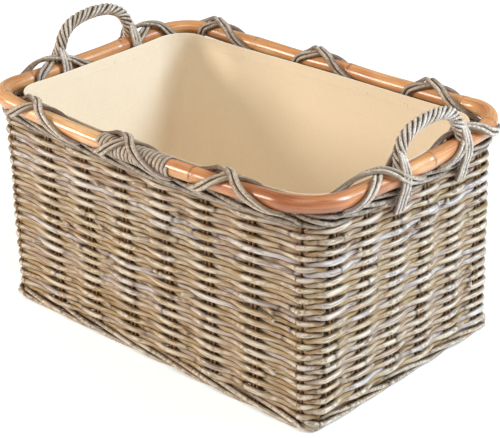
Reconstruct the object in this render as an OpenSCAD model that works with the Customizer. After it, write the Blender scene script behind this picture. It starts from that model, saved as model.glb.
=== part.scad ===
// Lined wicker log basket with a bent cane rim, lashed on, and two roped handles.
// Millimetres. +X is the right end, +Y the back, +Z up. The origin is the middle of the underside.
// Canes that are woven together are given as closed panels of the weave's true outer thickness,
// with channels where the upright stakes run through them.

/* [Woven body] */
// Length of the woven body over its outer faces
body_l = 592; // [480:4:720]
// Width of the woven body over its outer faces
body_w = 370; // [300:2:460]
// Height of the plain weave, from the foot border up to the top band
weave_h = 264; // [180:2:340]
// Thickness of the woven wall
wall_t = 17; // [15:0.5:20]
// Outer radius of the woven body's upright corners
corner_r = 25; // [23:1:36]
// Height of the tight band of canes along the top of the weave
band_h = 12.5; // [10:0.5:24]

/* [Foot and base] */
// Height of the twisted border that the basket stands on
foot_h = 16; // [12:1:24]
// How far the foot border stands out past the wall
foot_proud = 3; // [0:0.5:8]
// Thickness of the woven base
base_t = 14; // [12:1:20]
// Gap under the base, so that the basket stands on its border
base_lift = 6; // [3:1:12]
// Diameter of the long sticks in the base
base_stick_d = 9; // [6:0.5:10]
// Number of long sticks in the base
base_sticks_n = 7; // [3:1:9]

/* [Stakes] */
// Diameter of one upright stake
stake_d = 5; // [3.5:0.5:6]
// Gap between the two stakes of a pair
stake_gap = 1.5; // [0.5:0.5:4]
// Number of pairs in a long wall
long_pairs = 6; // [4:1:9]
// Number of pairs in an end wall
end_pairs = 6; // [4:1:7]
// Weave left between the last pair of an end wall and the corner
end_clear = 3; // [2:0.5:8]
// Number of stakes that stand together in each corner
corner_stakes_n = 3; // [1:1:3]

/* [Rim] */
// Diameter of the bent cane pole that makes the rim
pole_d = 22; // [18:1:28]
// How far the pole's middle line lies outside the wall's outer face
pole_out = 2; // [0:0.5:6]
// Corner radius of the pole's middle line
rim_r = 62; // [50:1:90]
// Gap between the top band and the binding round the pole
pole_gap = 0.5; // [0.5:0.5:3]
// Thickness of the flat cane that binds the pole's joint
binding_t = 1.7; // [1:0.1:2.5]
// Width of the flat cane that binds the pole's joint
binding_w = 7; // [5:0.5:9]
// Number of turns in the binding
binding_turns = 16; // [8:1:20]
// How far the middle of the binding lies right of the middle of the front
binding_shift = 11; // [-40:1:40]

/* [Lashing] */
// Diameter of one lashing cane
lash_d = 5.5; // [4:0.5:6]
// Half of the length of rim that one crossing takes up
lash_spread = 24; // [18:1:32]
// Distance from the end crossings of a long side to where the rim starts to bend
lash_end = 50; // [35:1:90]
// How far the crossings of the back lie left of those of the front
back_lash_shift = 20; // [0:1:30]

/* [Handles] */
// Outer diameter of the roped handle
rope_d = 17; // [14:0.5:22]
// Diameter of the handle's core
core_d = 6; // [5:0.5:7]
// Height of the handle's top above the top of the pole
handle_rise = 61; // [56:1:90]
// Radius of the bends in the handle's middle line
arch_r = 44; // [30:1:46]
// Number of stake spacings that a handle spans
handle_bays = 2; // [2:1:3]
// Distance from a pair of stakes to the handle foot beside it
foot_beside = 10.5; // [8:0.5:14]
// Diameter of the canes that tie a handle down
tail_d = 5.5; // [4:0.5:5.5]
// How far those canes reach down below the pole's middle line outside the wall
tail_drop = 48; // [36:1:80]

/* [Liner] */
// Thickness of the liner's hemmed cloth
liner_t = 2; // [1.5:0.5:3]
// Gap between the liner and the woven wall
liner_gap = 2.5; // [1.5:0.5:6]
// How far the liner's edge lies above the pole's middle line
liner_up = 2; // [-10:1:8]
// How far the liner lifts to come clear of the handles
liner_lift = 370; // [300:5:520]

/* [Hidden] */
$fn = 48;

// Clearance round a cane that passes through a channel or lies against another.
fit = 0.3;
// Gap that keeps the liner off the base.
seat_gap = 0.5;
// Sides of a swept cane, and steps of a lashing round the pole.
cane_sides = 6;
lash_steps = 13;
tie_steps = 6;

// Heights.
weave_z = foot_h;
band_z = weave_z + weave_h;
band_top = band_z + band_h;
pole_r = pole_d / 2;
binding_r = pole_r + fit + binding_t;
pole_z = band_top + pole_gap + binding_r;
base_top = base_lift + base_t;

// The room inside the weave.
inner_l = body_l - 2 * wall_t;
inner_w = body_w - 2 * wall_t;
inner_r = corner_r - wall_t;

// The straight stretches of the walls, and the stakes that stand in them.
straight_l = body_l - 2 * corner_r;
straight_w = body_w - 2 * corner_r;
pair_w = 2 * stake_d + stake_gap;
channel_w = pair_w + 2 * fit;
channel_t = stake_d + 2 * fit;
long_pitch = straight_l / (long_pairs + 1);
end_pitch = (straight_w - channel_w - 2 * end_clear) / (end_pairs - 1);
function long_column(i) = (i - (long_pairs - 1) / 2) * long_pitch;
function end_column(i) = (i - (end_pairs - 1) / 2) * end_pitch;
stake_top = band_top;

// The corner stakes stand side by side on the middle line of the wall, from the long wall's end on.
mid_r = corner_r - wall_t / 2;
corner_step = (stake_d + stake_gap) / mid_r * 180 / PI;
corner_reach = (corner_stakes_n * (stake_d + stake_gap) + 2 * fit) / mid_r * 180 / PI;

// The pole's middle line, and the straight stretches of it.
pole_l = body_l + 2 * pole_out;
pole_w = body_w + 2 * pole_out;
pole_straight_l = pole_l - 2 * rim_r;
pole_straight_w = pole_w - 2 * rim_r;
bend = PI * rim_r / 2;
pole_runs = [[pole_straight_l / 2, 0], [bend, 1], [pole_straight_w, 0], [bend, 1],
    [pole_straight_l, 0], [bend, 1], [pole_straight_w, 0], [bend, 1], [pole_straight_l / 2, 0]];
rim_length = 2 * pole_straight_l + 2 * pole_straight_w + 4 * bend;

// Distances round the rim start at the middle of the front and run towards the right end.
right_start = pole_straight_l / 2 + bend + pole_straight_w / 2;
back_start = right_start + pole_straight_w / 2 + bend + pole_straight_l / 2;
left_start = back_start + right_start;

// Handle feet stand beside two pairs of stakes in each end wall.
foot_col = floor((end_pairs - handle_bays) / 2);
foot_near = end_column(foot_col) - foot_beside;
foot_far = end_column(foot_col + handle_bays) - foot_beside;
handle_mid = (foot_near + foot_far) / 2;
handle_half = (foot_far - foot_near) / 2;
handle_top = pole_z + pole_r + handle_rise;
bend_r = min(arch_r, handle_half - 1);
arch_z = handle_top - rope_d / 2 - bend_r;
tie_pitch = tail_d + fit;
tie_half = tie_pitch + tail_d / 2;

// Lashings: a pair of canes one way, and a pair over it the other way. Angles run round the pole
// from its outer side over its top, and the canes of a pair lie side by side on the slant.
lash_from = 210;
lash_to = -30;
lash_r = binding_r + fit + lash_d / 2;
lash_slope = lash_spread * (1 + lash_r / rim_r) / (lash_r * PI * (90 - lash_to) / 180);
lash_side = (lash_d + fit) / 2 * sqrt(1 + lash_slope * lash_slope);
lash_hump = lash_d + fit;
lash_half = lash_spread + lash_side + lash_d / 2;
lash_clear = max(tie_half, rope_d / 2) + 2 * fit + lash_half;
long_lash_pitch = (pole_straight_l - 2 * lash_end) / 2;
front_lashes = [for (i = [-1:1]) i * long_lash_pitch];
back_lashes = [for (i = [-1:1]) back_start + back_lash_shift + i * long_lash_pitch];
right_lashes = [right_start + foot_near - lash_clear, right_start + foot_far + lash_clear];
left_lashes = [left_start - foot_far - lash_clear, left_start - foot_near + lash_clear];

// The liner follows the pole's bend at a constant distance.
liner_l = inner_l - 2 * liner_gap;
liner_w = inner_w - 2 * liner_gap;
liner_r = rim_r - (pole_out + wall_t + liner_gap);
liner_z = base_top + seat_gap;
liner_h = pole_z + liner_up - liner_z;

// One step along a run of the rim: position and heading after a distance on a line or a bend.
function step(at, dist, turns) = turns == 0
    ? [at.x + dist * cos(at.z), at.y + dist * sin(at.z), at.z]
    : let (a = dist / rim_r * 180 / PI)
        [at.x + rim_r * (sin(at.z + a) - sin(at.z)),
         at.y + rim_r * (cos(at.z) - cos(at.z + a)), at.z + a];
// Position and heading of the pole's middle line at a distance round the rim.
function rim_at(dist, k = 0, at = [0, -pole_w / 2, 0]) =
    dist < 0 ? rim_at(dist + rim_length)
    : dist > pole_runs[k][0] && k < len(pole_runs) - 1
        ? rim_at(dist - pole_runs[k][0], k + 1, step(at, pole_runs[k][0], pole_runs[k][1]))
        : step(at, dist, pole_runs[k][1]);
// A point beside the rim: out from the pole's middle line, up from it, and a little way along it.
function by_rim(dist, out, up, on = 0) = let (at = rim_at(dist))
    [at.x + out * sin(at.z) + on * cos(at.z), at.y - out * cos(at.z) + on * sin(at.z), pole_z + up];

// Path of one lashing cane over the pole. way is 1 or -1, side picks the cane of the pair,
// and over lifts it across the pair below.
function lash_path(middle, way, side, over) = [for (i = [0:lash_steps])
    let (a = lash_from + (lash_to - lash_from) * i / lash_steps,
         near = max(0, min(1, 2.2 - abs(a - 90) / 25)),
         r = lash_r + over * lash_hump * near,
         along = way * lash_spread * (90 - a) / (90 - lash_to))
        by_rim(middle + along, r * cos(a), r * sin(a), side * lash_side)];

// Paths of a tie: outside it runs round the pole and down the wall, inside it stops at the band.
tie_r = pole_r + fit + tail_d / 2;
tie_wall = tail_d / 2 + fit - pole_out;
function tie_arc(dist, from, to) = [for (i = [0:tie_steps])
    let (a = from + (to - from) * i / tie_steps) by_rim(dist, tie_r * cos(a), tie_r * sin(a))];
function outer_tie(dist) = concat(tie_arc(dist, 65, -35),
    [by_rim(dist, tie_wall, -tail_drop / 2), by_rim(dist, tie_wall, -tail_drop)]);
function inner_tie(dist) = tie_arc(dist, 115, 210);

// Unit vector, and the direction of a path at one of its points.
function unit(v) = v / norm(v);
function along(path, i) = unit(path[min(i + 1, len(path) - 1)] - path[max(i - 1, 0)]);
// The ring of points round a path point, set out from a side direction that stays level enough.
function ring(path, i, r, side) = let (t = along(path, i), v = unit(cross(t, side)), u = cross(v, t))
    [for (k = [0:cane_sides - 1]) let (a = 360 * k / cane_sides)
        path[i] + r * (cos(a) * u + sin(a) * v)];

// A round cane swept along a path. side is a direction that is never along the path.
module cane(path, d, side) {
    rings = len(path);
    n = cane_sides;
    points = [for (i = [0:rings - 1]) each ring(path, i, d / 2, side)];
    walls = [for (i = [0:rings - 2], k = [0:n - 1])
        let (a = i * n + k, b = i * n + (k + 1) % n) each [[a, a + n, b], [b, a + n, b + n]]];
    first = [[for (k = [0:n - 1]) k]];
    last = [[for (k = [0:n - 1]) (rings - 1) * n + n - 1 - k]];
    polyhedron(points, concat(walls, first, last));
}

// Quarter of an upright ring, from +X to +Y.
module quarter(r_out, t, h) {
    rotate_extrude(angle = 90) translate([r_out - t, 0]) square([t, h]);
}

// Closed upright ring of a rounded rectangle: outer size, outer corner radius, thickness, height.
module ring_wall(l, w, r, t, h) {
    for (s = [0, 1]) {
        rotate([0, 0, 180 * s]) translate([r - l / 2, -w / 2, 0]) cube([l - 2 * r, t, h]);
        rotate([0, 0, 180 * s]) translate([l / 2 - t, r - w / 2, 0]) cube([t, w - 2 * r, h]);
        rotate([0, 0, 180 * s]) translate([l / 2 - r, w / 2 - r, 0]) quarter(r, t, h);
        rotate([0, 0, 180 * s]) translate([r - l / 2, w / 2 - r, 0]) rotate([0, 0, 90]) quarter(r, t, h);
    }
}

// Channels through a wall for the pairs of stakes, from z0 upwards.
module long_channels(y, z0, h) {
    for (i = [0:long_pairs - 1])
        translate([long_column(i) - channel_w / 2, y - channel_t / 2, z0]) cube([channel_w, channel_t, h]);
}
module end_channels(x, z0, h) {
    for (i = [0:end_pairs - 1])
        translate([x - channel_t / 2, end_column(i) - channel_w / 2, z0]) cube([channel_t, channel_w, h]);
}

// Places what it is given at one of the four upright corners, turned so that its outside faces out.
module at_corner(k) {
    sx = (k == 0 || k == 1) ? 1 : -1;
    sy = (k == 1 || k == 2) ? 1 : -1;
    translate([sx * straight_l / 2, sy * straight_w / 2, 0]) rotate([0, 0, 90 * (k - 1)]) children();
}

// Turns a corner so that its angles run from the end of the long wall.
module from_long_wall(k) {
    if (k == 0 || k == 2) children();
    else mirror([1, -1, 0]) children();
}

// Channel of the corner stakes, a curved slot in the middle of the wall.
module corner_channel(k, z0, h) {
    from_long_wall(k) translate([0, 0, z0]) rotate_extrude(angle = corner_reach)
        translate([mid_r - channel_t / 2, 0]) square([channel_t, h]);
}

module foot_border() {
    color("tan")
        ring_wall(body_l + 2 * foot_proud, body_w + 2 * foot_proud, corner_r + foot_proud,
            wall_t + foot_proud, foot_h);
}

// The sticks share the base's width in equal steps.
stick_pitch = (inner_w - 2 * fit) / (base_sticks_n + 1);
function stick_y(i) = (i - (base_sticks_n - 1) / 2) * stick_pitch;

module base_weave() {
    side = base_stick_d + 2 * fit;
    color("burlywood") difference() {
        translate([-inner_l / 2 + fit, -inner_w / 2 + fit, base_lift])
            difference() {
                cube([inner_l - 2 * fit, inner_w - 2 * fit, base_t]);
                for (x = [0, inner_l - 2 * fit], y = [0, inner_w - 2 * fit])
                    translate([x, y, base_t / 2]) rotate([0, 0, 45])
                        cube([inner_r, inner_r, base_t + 2], center = true);
            }
        for (i = [0:base_sticks_n - 1])
            translate([-inner_l / 2, stick_y(i) - side / 2, base_lift + base_t / 2 - side / 2])
                cube([inner_l, side, side]);
    }
}

module base_sticks() {
    color("peru") for (i = [0:base_sticks_n - 1])
        translate([-inner_l / 2 + 2 * fit, stick_y(i), base_lift + base_t / 2])
            rotate([0, 90, 0]) cylinder(h = inner_l - 4 * fit, d = base_stick_d);
}

// One long wall's weave. front is -1 for the front wall and 1 for the back wall.
module long_weave(front) {
    color("tan") difference() {
        translate([-straight_l / 2, front * (body_w - wall_t) / 2 - wall_t / 2, weave_z])
            cube([straight_l, wall_t, weave_h]);
        long_channels(front * (body_w - wall_t) / 2, weave_z - 1, weave_h + 2);
    }
}

// One end wall's weave. right is 1 for the right wall and -1 for the left wall.
module end_weave(right) {
    color("tan") difference() {
        translate([right * (body_l - wall_t) / 2 - wall_t / 2, -straight_w / 2, weave_z])
            cube([wall_t, straight_w, weave_h]);
        end_channels(right * (body_l - wall_t) / 2, weave_z - 1, weave_h + 2);
    }
}

module corner_weave(k) {
    color("rosybrown") at_corner(k) difference() {
        translate([0, 0, weave_z]) quarter(corner_r, wall_t, weave_h);
        corner_channel(k, weave_z - 1, weave_h + 2);
    }
}

module long_stakes(front) {
    color("saddlebrown") for (i = [0:long_pairs - 1], side = [-1, 1])
        translate([long_column(i) + side * (stake_d + stake_gap) / 2,
            front * (body_w - wall_t) / 2, weave_z])
            cylinder(h = stake_top - weave_z, d = stake_d);
}

module end_stakes(right) {
    color("saddlebrown") for (i = [0:end_pairs - 1], side = [-1, 1])
        translate([right * (body_l - wall_t) / 2,
            end_column(i) + side * (stake_d + stake_gap) / 2, weave_z])
            cylinder(h = stake_top - weave_z, d = stake_d);
}

module corner_stakes() {
    color("sienna") for (k = [0:3], i = [0:corner_stakes_n - 1])
        at_corner(k) from_long_wall(k)
            rotate([0, 0, corner_reach / 2 + (i - (corner_stakes_n - 1) / 2) * corner_step])
                translate([mid_r, 0, weave_z]) cylinder(h = stake_top - weave_z, d = stake_d);
}

module top_band() {
    color("rosybrown") difference() {
        translate([0, 0, band_z]) ring_wall(body_l, body_w, corner_r, wall_t, band_h);
        for (s = [-1, 1]) {
            long_channels(s * (body_w - wall_t) / 2, band_z - 1, band_h + 2);
            end_channels(s * (body_l - wall_t) / 2, band_z - 1, band_h + 2);
        }
        for (k = [0:3])
            at_corner(k) corner_channel(k, band_z - 1, band_h + 2);
    }
}

module rim_pole() {
    color("peru") translate([0, 0, pole_z]) for (s = [0, 1]) rotate([0, 0, 180 * s]) {
        translate([-pole_straight_l / 2, -pole_w / 2, 0]) rotate([0, 90, 0])
            cylinder(h = pole_straight_l, d = pole_d);
        translate([pole_l / 2, -pole_straight_w / 2, 0]) rotate([-90, 0, 0])
            cylinder(h = pole_straight_w, d = pole_d);
        for (q = [0, 1])
            translate([(1 - 2 * q) * pole_straight_l / 2, pole_straight_w / 2, 0]) rotate([0, 0, 90 * q])
                rotate_extrude(angle = 90) translate([rim_r, 0]) circle(d = pole_d);
    }
}

// Turns of flat cane round the pole, over the scarf joint of its two ends.
module splice_binding() {
    turn_pitch = binding_w + fit;
    color("darkkhaki") for (i = [0:binding_turns - 1])
        translate([binding_shift + (i - (binding_turns - 1) / 2) * turn_pitch - binding_w / 2,
            -pole_w / 2, pole_z])
            rotate([0, 90, 0]) rotate_extrude()
                translate([pole_r + fit, 0]) square([binding_t, binding_w]);
}

// Crossings of the lashing at a list of distances round the rim.
module lashing(places) {
    color("gray") for (middle = places, way = [-1, 1], side = [-1, 1]) {
        at = rim_at(middle);
        cane(lash_path(middle, way, side, (way + 1) / 2), lash_d, [cos(at.z), sin(at.z), 0]);
    }
}

// A handle tube of a given section: the middle line is an arch of two bends and a flat top.
module arch(d, bore, leg) {
    for (s = [-1, 1]) {
        if (leg > 0)
            translate([0, s * handle_half, arch_z - leg]) cylinder(h = leg, d = d);
        translate([0, s * (handle_half - bend_r), arch_z])
            rotate([90, 0, 90]) rotate([0, 0, s > 0 ? 0 : 90]) rotate_extrude(angle = 90)
                translate([bend_r, 0]) section(d, bore);
    }
    translate([0, handle_half - bend_r, arch_z + bend_r]) rotate([90, 0, 0])
        linear_extrude(2 * (handle_half - bend_r)) section(d, bore);
}
module section(d, bore) {
    difference() {
        circle(d = d);
        if (bore > 0) circle(d = bore);
    }
}
module at_handle(right) {
    translate([right * pole_l / 2, handle_mid, 0]) children();
}

module handle_core(right) {
    color("sienna") at_handle(right) arch(core_d, 0, arch_z - pole_z - pole_r - fit);
}

module handle_rope(right) {
    color("darkkhaki") at_handle(right) arch(rope_d, core_d + 2 * fit, 0);
}

// Canes that tie a handle's feet down over the pole, three outside and three inside each foot.
module handle_ties(right) {
    start = right > 0 ? right_start : left_start;
    color("gray") for (foot = [foot_near, foot_far], i = [-1:1]) {
        dist = start + right * foot + i * tie_pitch;
        cane(outer_tie(dist), tail_d, [0, 1, 0]);
        cane(inner_tie(dist), tail_d, [0, 1, 0]);
    }
}

module long_liner(front) {
    color("ivory") translate([liner_r - liner_l / 2, front * (liner_w - liner_t) / 2 - liner_t / 2, liner_z])
        cube([liner_l - 2 * liner_r, liner_t, liner_h]);
}

// An end panel of the liner reaches round its two corners.
module end_liner(right) {
    color("ivory") rotate([0, 0, right > 0 ? 0 : 180]) translate([0, 0, liner_z]) {
        translate([liner_l / 2 - liner_t, liner_r - liner_w / 2, 0])
            cube([liner_t, liner_w - 2 * liner_r, liner_h]);
        translate([liner_l / 2 - liner_r, liner_w / 2 - liner_r, 0]) quarter(liner_r, liner_t, liner_h);
        translate([liner_l / 2 - liner_r, liner_r - liner_w / 2, 0]) rotate([0, 0, -90])
            quarter(liner_r, liner_t, liner_h);
    }
}

// Outline of a rounded rectangle, its corners as arcs.
function rounded(l, w, r) = [for (k = [0:3], a = [0:5:90])
    let (cx = (k == 0 || k == 3 ? 1 : -1) * (l / 2 - r), cy = (k < 2 ? 1 : -1) * (w / 2 - r))
        [cx + r * cos(90 * k + a), cy + r * sin(90 * k + a)]];

module liner_floor() {
    color("ivory") translate([0, 0, liner_z]) linear_extrude(liner_t)
        polygon(rounded(liner_l - 2 * liner_t - fit, liner_w - 2 * liner_t - fit, liner_r - liner_t));
}

foot_border();
base_weave();
base_sticks();
long_weave(-1);  // front_weave
long_weave(1);  // back_weave
end_weave(-1);  // left_weave
end_weave(1);  // right_weave
corner_weave(0);  // front_right_corner_weave
corner_weave(1);  // back_right_corner_weave
corner_weave(2);  // back_left_corner_weave
corner_weave(3);  // front_left_corner_weave
long_stakes(-1);  // front_stakes
long_stakes(1);  // back_stakes
end_stakes(-1);  // left_stakes
end_stakes(1);  // right_stakes
corner_stakes();
top_band();
rim_pole();
splice_binding();
lashing(front_lashes);  // front_lashing
lashing(back_lashes);  // back_lashing
lashing(left_lashes);  // left_lashing
lashing(right_lashes);  // right_lashing
handle_core(-1);  // left_handle_core
handle_core(1);  // right_handle_core
handle_rope(-1);  // left_handle_rope
handle_rope(1);  // right_handle_rope
handle_ties(-1);  // left_handle_ties
handle_ties(1);  // right_handle_ties
long_liner(-1);  // liner_front
long_liner(1);  // liner_back
end_liner(-1);  // liner_left
end_liner(1);  // liner_right
liner_floor();
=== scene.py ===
"""Looks of the lined wicker log basket: woven canes, lashed rim pole, roped handles and canvas liner.

Lengths are millimetres unless a name ends in _m; meshes are scaled to metres when they are made.
+X is the right end, +Y the back, +Z up, and the basket stands on z = 0.
"""

from __future__ import annotations

import logging
from dataclasses import dataclass
from enum import Enum

import bpy
import numpy as np
from mathutils import Matrix, Vector

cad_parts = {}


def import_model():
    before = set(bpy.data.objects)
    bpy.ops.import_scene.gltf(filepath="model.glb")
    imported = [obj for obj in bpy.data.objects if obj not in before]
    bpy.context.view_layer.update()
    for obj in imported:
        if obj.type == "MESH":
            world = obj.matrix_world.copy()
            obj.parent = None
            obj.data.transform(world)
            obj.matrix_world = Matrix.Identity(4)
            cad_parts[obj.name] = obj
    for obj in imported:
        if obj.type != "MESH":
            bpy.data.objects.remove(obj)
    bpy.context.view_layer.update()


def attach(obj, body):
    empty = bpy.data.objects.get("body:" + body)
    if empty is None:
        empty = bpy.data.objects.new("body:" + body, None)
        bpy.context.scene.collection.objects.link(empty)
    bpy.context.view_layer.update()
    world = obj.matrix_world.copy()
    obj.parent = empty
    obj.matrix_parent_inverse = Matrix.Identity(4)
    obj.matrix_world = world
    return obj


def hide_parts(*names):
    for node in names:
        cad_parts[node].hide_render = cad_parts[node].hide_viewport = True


MM = 0.001
FULL_TURN = 2.0 * np.pi
UP = np.array([0.0, 0.0, 1.0])
LOG = logging.getLogger("basket")

Colour = tuple[float, float, float]
Array = np.ndarray


class Body(Enum):
    """The two bodies of the basket that move apart."""

    BASKET = "basket"
    LINER = "liner"


class Side(Enum):
    """The four walls, in the order in which they are met going round from the front."""

    FRONT = 0
    RIGHT = 1
    BACK = 2
    LEFT = 3


def linear(red: float, green: float, blue: float) -> Colour:
    """Turns a display colour into the linear one that shaders take.

    Args:
        red: Red, 0 to 1.
        green: Green, 0 to 1.
        blue: Blue, 0 to 1.

    Returns:
        The three linear values.
    """
    display = (red, green, blue)
    return tuple(float(((c + 0.055) / 1.055) ** 2.4 if c > 0.04045 else c / 12.92) for c in display)


def unit(vectors: Array) -> Array:
    """Scales vectors to length one.

    Args:
        vectors: Vectors along the last axis.

    Returns:
        The unit vectors.
    """
    return vectors / np.maximum(np.linalg.norm(vectors, axis=-1, keepdims=True), 1e-9)


def waver(rng: np.random.Generator, rows: int, turns: Array, waves: tuple[int, ...]) -> Array:
    """Smooth closed noise for several canes: a sum of sines with random phases, about -1 to 1.

    Args:
        rng: Source of the phases.
        rows: Number of canes.
        turns: Place along each cane, 0 to 1 for the whole way round.
        waves: How many waves each sine has along the way.

    Returns:
        One row of values for each cane.
    """
    phase = rng.uniform(0, FULL_TURN, (rows, len(waves), 1))
    size = rng.uniform(0.6, 1.0, (rows, len(waves), 1))
    count = np.array(waves, float)[None, :, None]
    return (size * np.sin(FULL_TURN * count * turns + phase)).sum(1) / np.sqrt(len(waves))


def ring_angles(sides: int) -> Array:
    """Angles of the points round a cane's section, from its outer face."""
    return np.linspace(0, FULL_TURN, sides, endpoint=False)


def bell(gap: Array, width: float) -> Array:
    """A bell curve: 1 where the gap is nothing, and a third or so where it is the width."""
    return np.exp(-((gap / width) ** 2))


def wash_and_highlight_face(ring: Array, most: float) -> Array:
    """How much pale, grey-washed colour and painted highlight a cane has round its section: most on its outer
    face, none behind.
    """
    return most * np.clip(np.cos(ring), 0, 1)[None, None] ** 2


def cane_tint(rng: np.random.Generator, rows: int, turns: Array, waves: tuple[int, ...]) -> Array:
    """A colour for each of several canes, which drifts along it.

    Args:
        rng: Source of the colours.
        rows: Number of canes.
        turns: Place along each cane, 0 to 1.
        waves: Waves of the drift along the cane.

    Returns:
        One row of places in the finish's run of colours for each cane.
    """
    return np.clip(rng.uniform(0.1, 0.9, (rows, 1)) + 0.2 * waver(rng, rows, turns, waves), 0, 1)


def painted_crevice_shade(ring: Array, depth: float) -> Array:
    """Painted shade round a cane's section: none at its face and back, most where its neighbours touch."""
    return depth * np.abs(np.sin(ring))[None, None, :] ** 5


def smooth_through(knots: Array, steps: int) -> Array:
    """A smooth line through knots: each stretch is a cubic whose ends take the slope between neighbours.

    Args:
        knots: Points of any dimension, one a row.
        steps: Samples on each stretch.

    Returns:
        The sampled line, its first and last points the first and last knots.
    """
    knots = np.asarray(knots, float)
    padded = np.vstack([2 * knots[0] - knots[1], knots, 2 * knots[-1] - knots[-2]])
    t = np.linspace(0, 1, steps, endpoint=False)[None, :, None]
    a, b, c, d = (padded[i : len(padded) - 3 + i][:, None] for i in range(4))
    line = 0.5 * (2 * b + (c - a) * t + (2 * a - 5 * b + 4 * c - d) * t**2 + (3 * b - a - 3 * c + d) * t**3)
    return np.vstack([line.reshape(-1, knots.shape[1]), knots[-1:]])


# --------------------------------------------------------------------------- shapes


@dataclass(frozen=True)
class Outline:
    """A rounded rectangle seen from above, whose sides bow out and whose corners rise.

    Attributes:
        length: Size along X.
        width: Size along Y.
        radius: Corner radius.
        bow_long: How far the middle of a long side bows out.
        bow_end: How far the middle of an end bows out.
        rise: How far the corners stand above the middles of the sides.
    """

    length: float
    width: float
    radius: float
    bow_long: float = 0.0
    bow_end: float = 0.0
    rise: float = 0.0


def outline_point(sizes: dict[str, Array], turn: Array, out: Array, height: Array) -> Array:
    """Points beside an outline.

    The turn counts sides and corners: 0 to 1 is the front from left to right, 1 to 2 the corner after
    it, 2 to 3 the right end, and so on to 8. On a straight stretch the place is the turn's share of it.
    On a corner it is the corner's middle plus the radius times the cosine and sine of the turned angle.

    Args:
        sizes: The outline's sizes, each a number or an array.
        turn: Place round the outline, 0 to 8.
        out: Distance outwards from the outline.
        height: Height of the point before the corners' rise.

    Returns:
        The points, with X, Y and Z along the last axis.
    """
    names = ("length", "width", "radius", "bow_long", "bow_end", "rise")
    turn, out, height, length, width, radius, bow_long, bow_end, rise = np.broadcast_arrays(
        np.mod(turn, 8.0), out, height, *(sizes[k] for k in names)
    )
    side = np.floor(turn / 2).astype(int) % 4
    share = turn - 2 * side
    on_end = side % 2 == 1
    reach = np.where(on_end, width, length) / 2 - radius
    depth = np.where(on_end, length, width) / 2 - radius
    angle = np.clip(share - 1, 0, 1) * np.pi / 2
    along = np.where(share < 1, (2 * share - 1) * reach, reach + (radius + out) * np.sin(angle))
    away = depth + (radius + out) * np.cos(angle)
    tx, ty = np.choose(side, [1, 0, -1, 0]), np.choose(side, [0, 1, 0, -1])
    x, y = along * tx + away * ty, along * ty - away * tx
    u, v = np.clip(2 * x / length, -1.1, 1.1), np.clip(2 * y / width, -1.1, 1.1)
    y2 = y + np.sign(v) * np.abs(v) * bow_long * np.cos(np.clip(u, -1, 1) * np.pi / 2)
    x2 = x + np.sign(u) * np.abs(u) * bow_end * np.cos(np.clip(v, -1, 1) * np.pi / 2)
    return np.stack([x2, y2, height + rise * np.abs(u * v) ** 3], -1)


@dataclass(frozen=True)
class Body3D:
    """An upright surface that changes from a foot outline to a top outline.

    Attributes:
        foot: Outline at the foot.
        top: Outline at the top.
        foot_z: Height of the foot.
        top_z: Height of the top.
    """

    foot: Outline
    top: Outline
    foot_z: float
    top_z: float

    def point(self, turn: Array, height: Array, out: Array = 0.0) -> Array:
        """Points beside the surface.

        Args:
            turn: Place round it, 0 to 8.
            height: Height.
            out: Distance outwards.

        Returns:
            The points.
        """
        share = (np.asarray(height, float) - self.foot_z) / (self.top_z - self.foot_z)
        bowed = np.clip(share, 0, 1.2) ** 1.4
        sizes = {k: getattr(self.foot, k) + (getattr(self.top, k) - getattr(self.foot, k)) * share
                 for k in ("length", "width", "radius")}
        sizes |= {k: getattr(self.top, k) * bowed for k in ("bow_long", "bow_end", "rise")}
        return outline_point(sizes, turn, out, height)


WALL = Body3D(Outline(565, 359, 17), Outline(583, 345, 25.5, 12, 4.5, 7), 0, 294)
LINER = Body3D(Outline(541, 336, 76), Outline(561, 322, 42, 12, 4, 6), 20.5, 308)
RIM = Outline(600, 376.5, 56, 8, 4.8, 7.9)
RIM_Z = 306.0
POLE_R = 11.0
KNOT_WIDTH = 0.0011  # of the whole way round
CORNERS = (1.0, 3.0, 5.0, 7.0)
STRAIGHT = {Side.FRONT: 542.0, Side.RIGHT: 320.0, Side.BACK: 542.0, Side.LEFT: 320.0}


def turn_of(side: Side, place: float) -> float:
    """The turn of a place on a wall.

    Args:
        side: The wall.
        place: Distance from the wall's middle, to the right as seen from outside.

    Returns:
        The turn, 0 to 8.
    """
    return 2 * side.value + 0.5 + place / STRAIGHT[side]


def moved_turn(turn: Array, distance: float) -> Array:
    """The turn that lies a distance further round the walls than a given one.

    Args:
        turn: The given turn, 0 to 8.
        distance: How far round to go.

    Returns:
        The turn there.
    """
    corner = WALL.foot.radius * np.pi / 2
    marks = np.concatenate([[0], np.cumsum([length for side in Side for length in (STRAIGHT[side], corner)])])
    place = np.interp(turn, np.arange(9), marks) + distance
    return np.interp(place, marks, np.arange(9))


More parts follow.
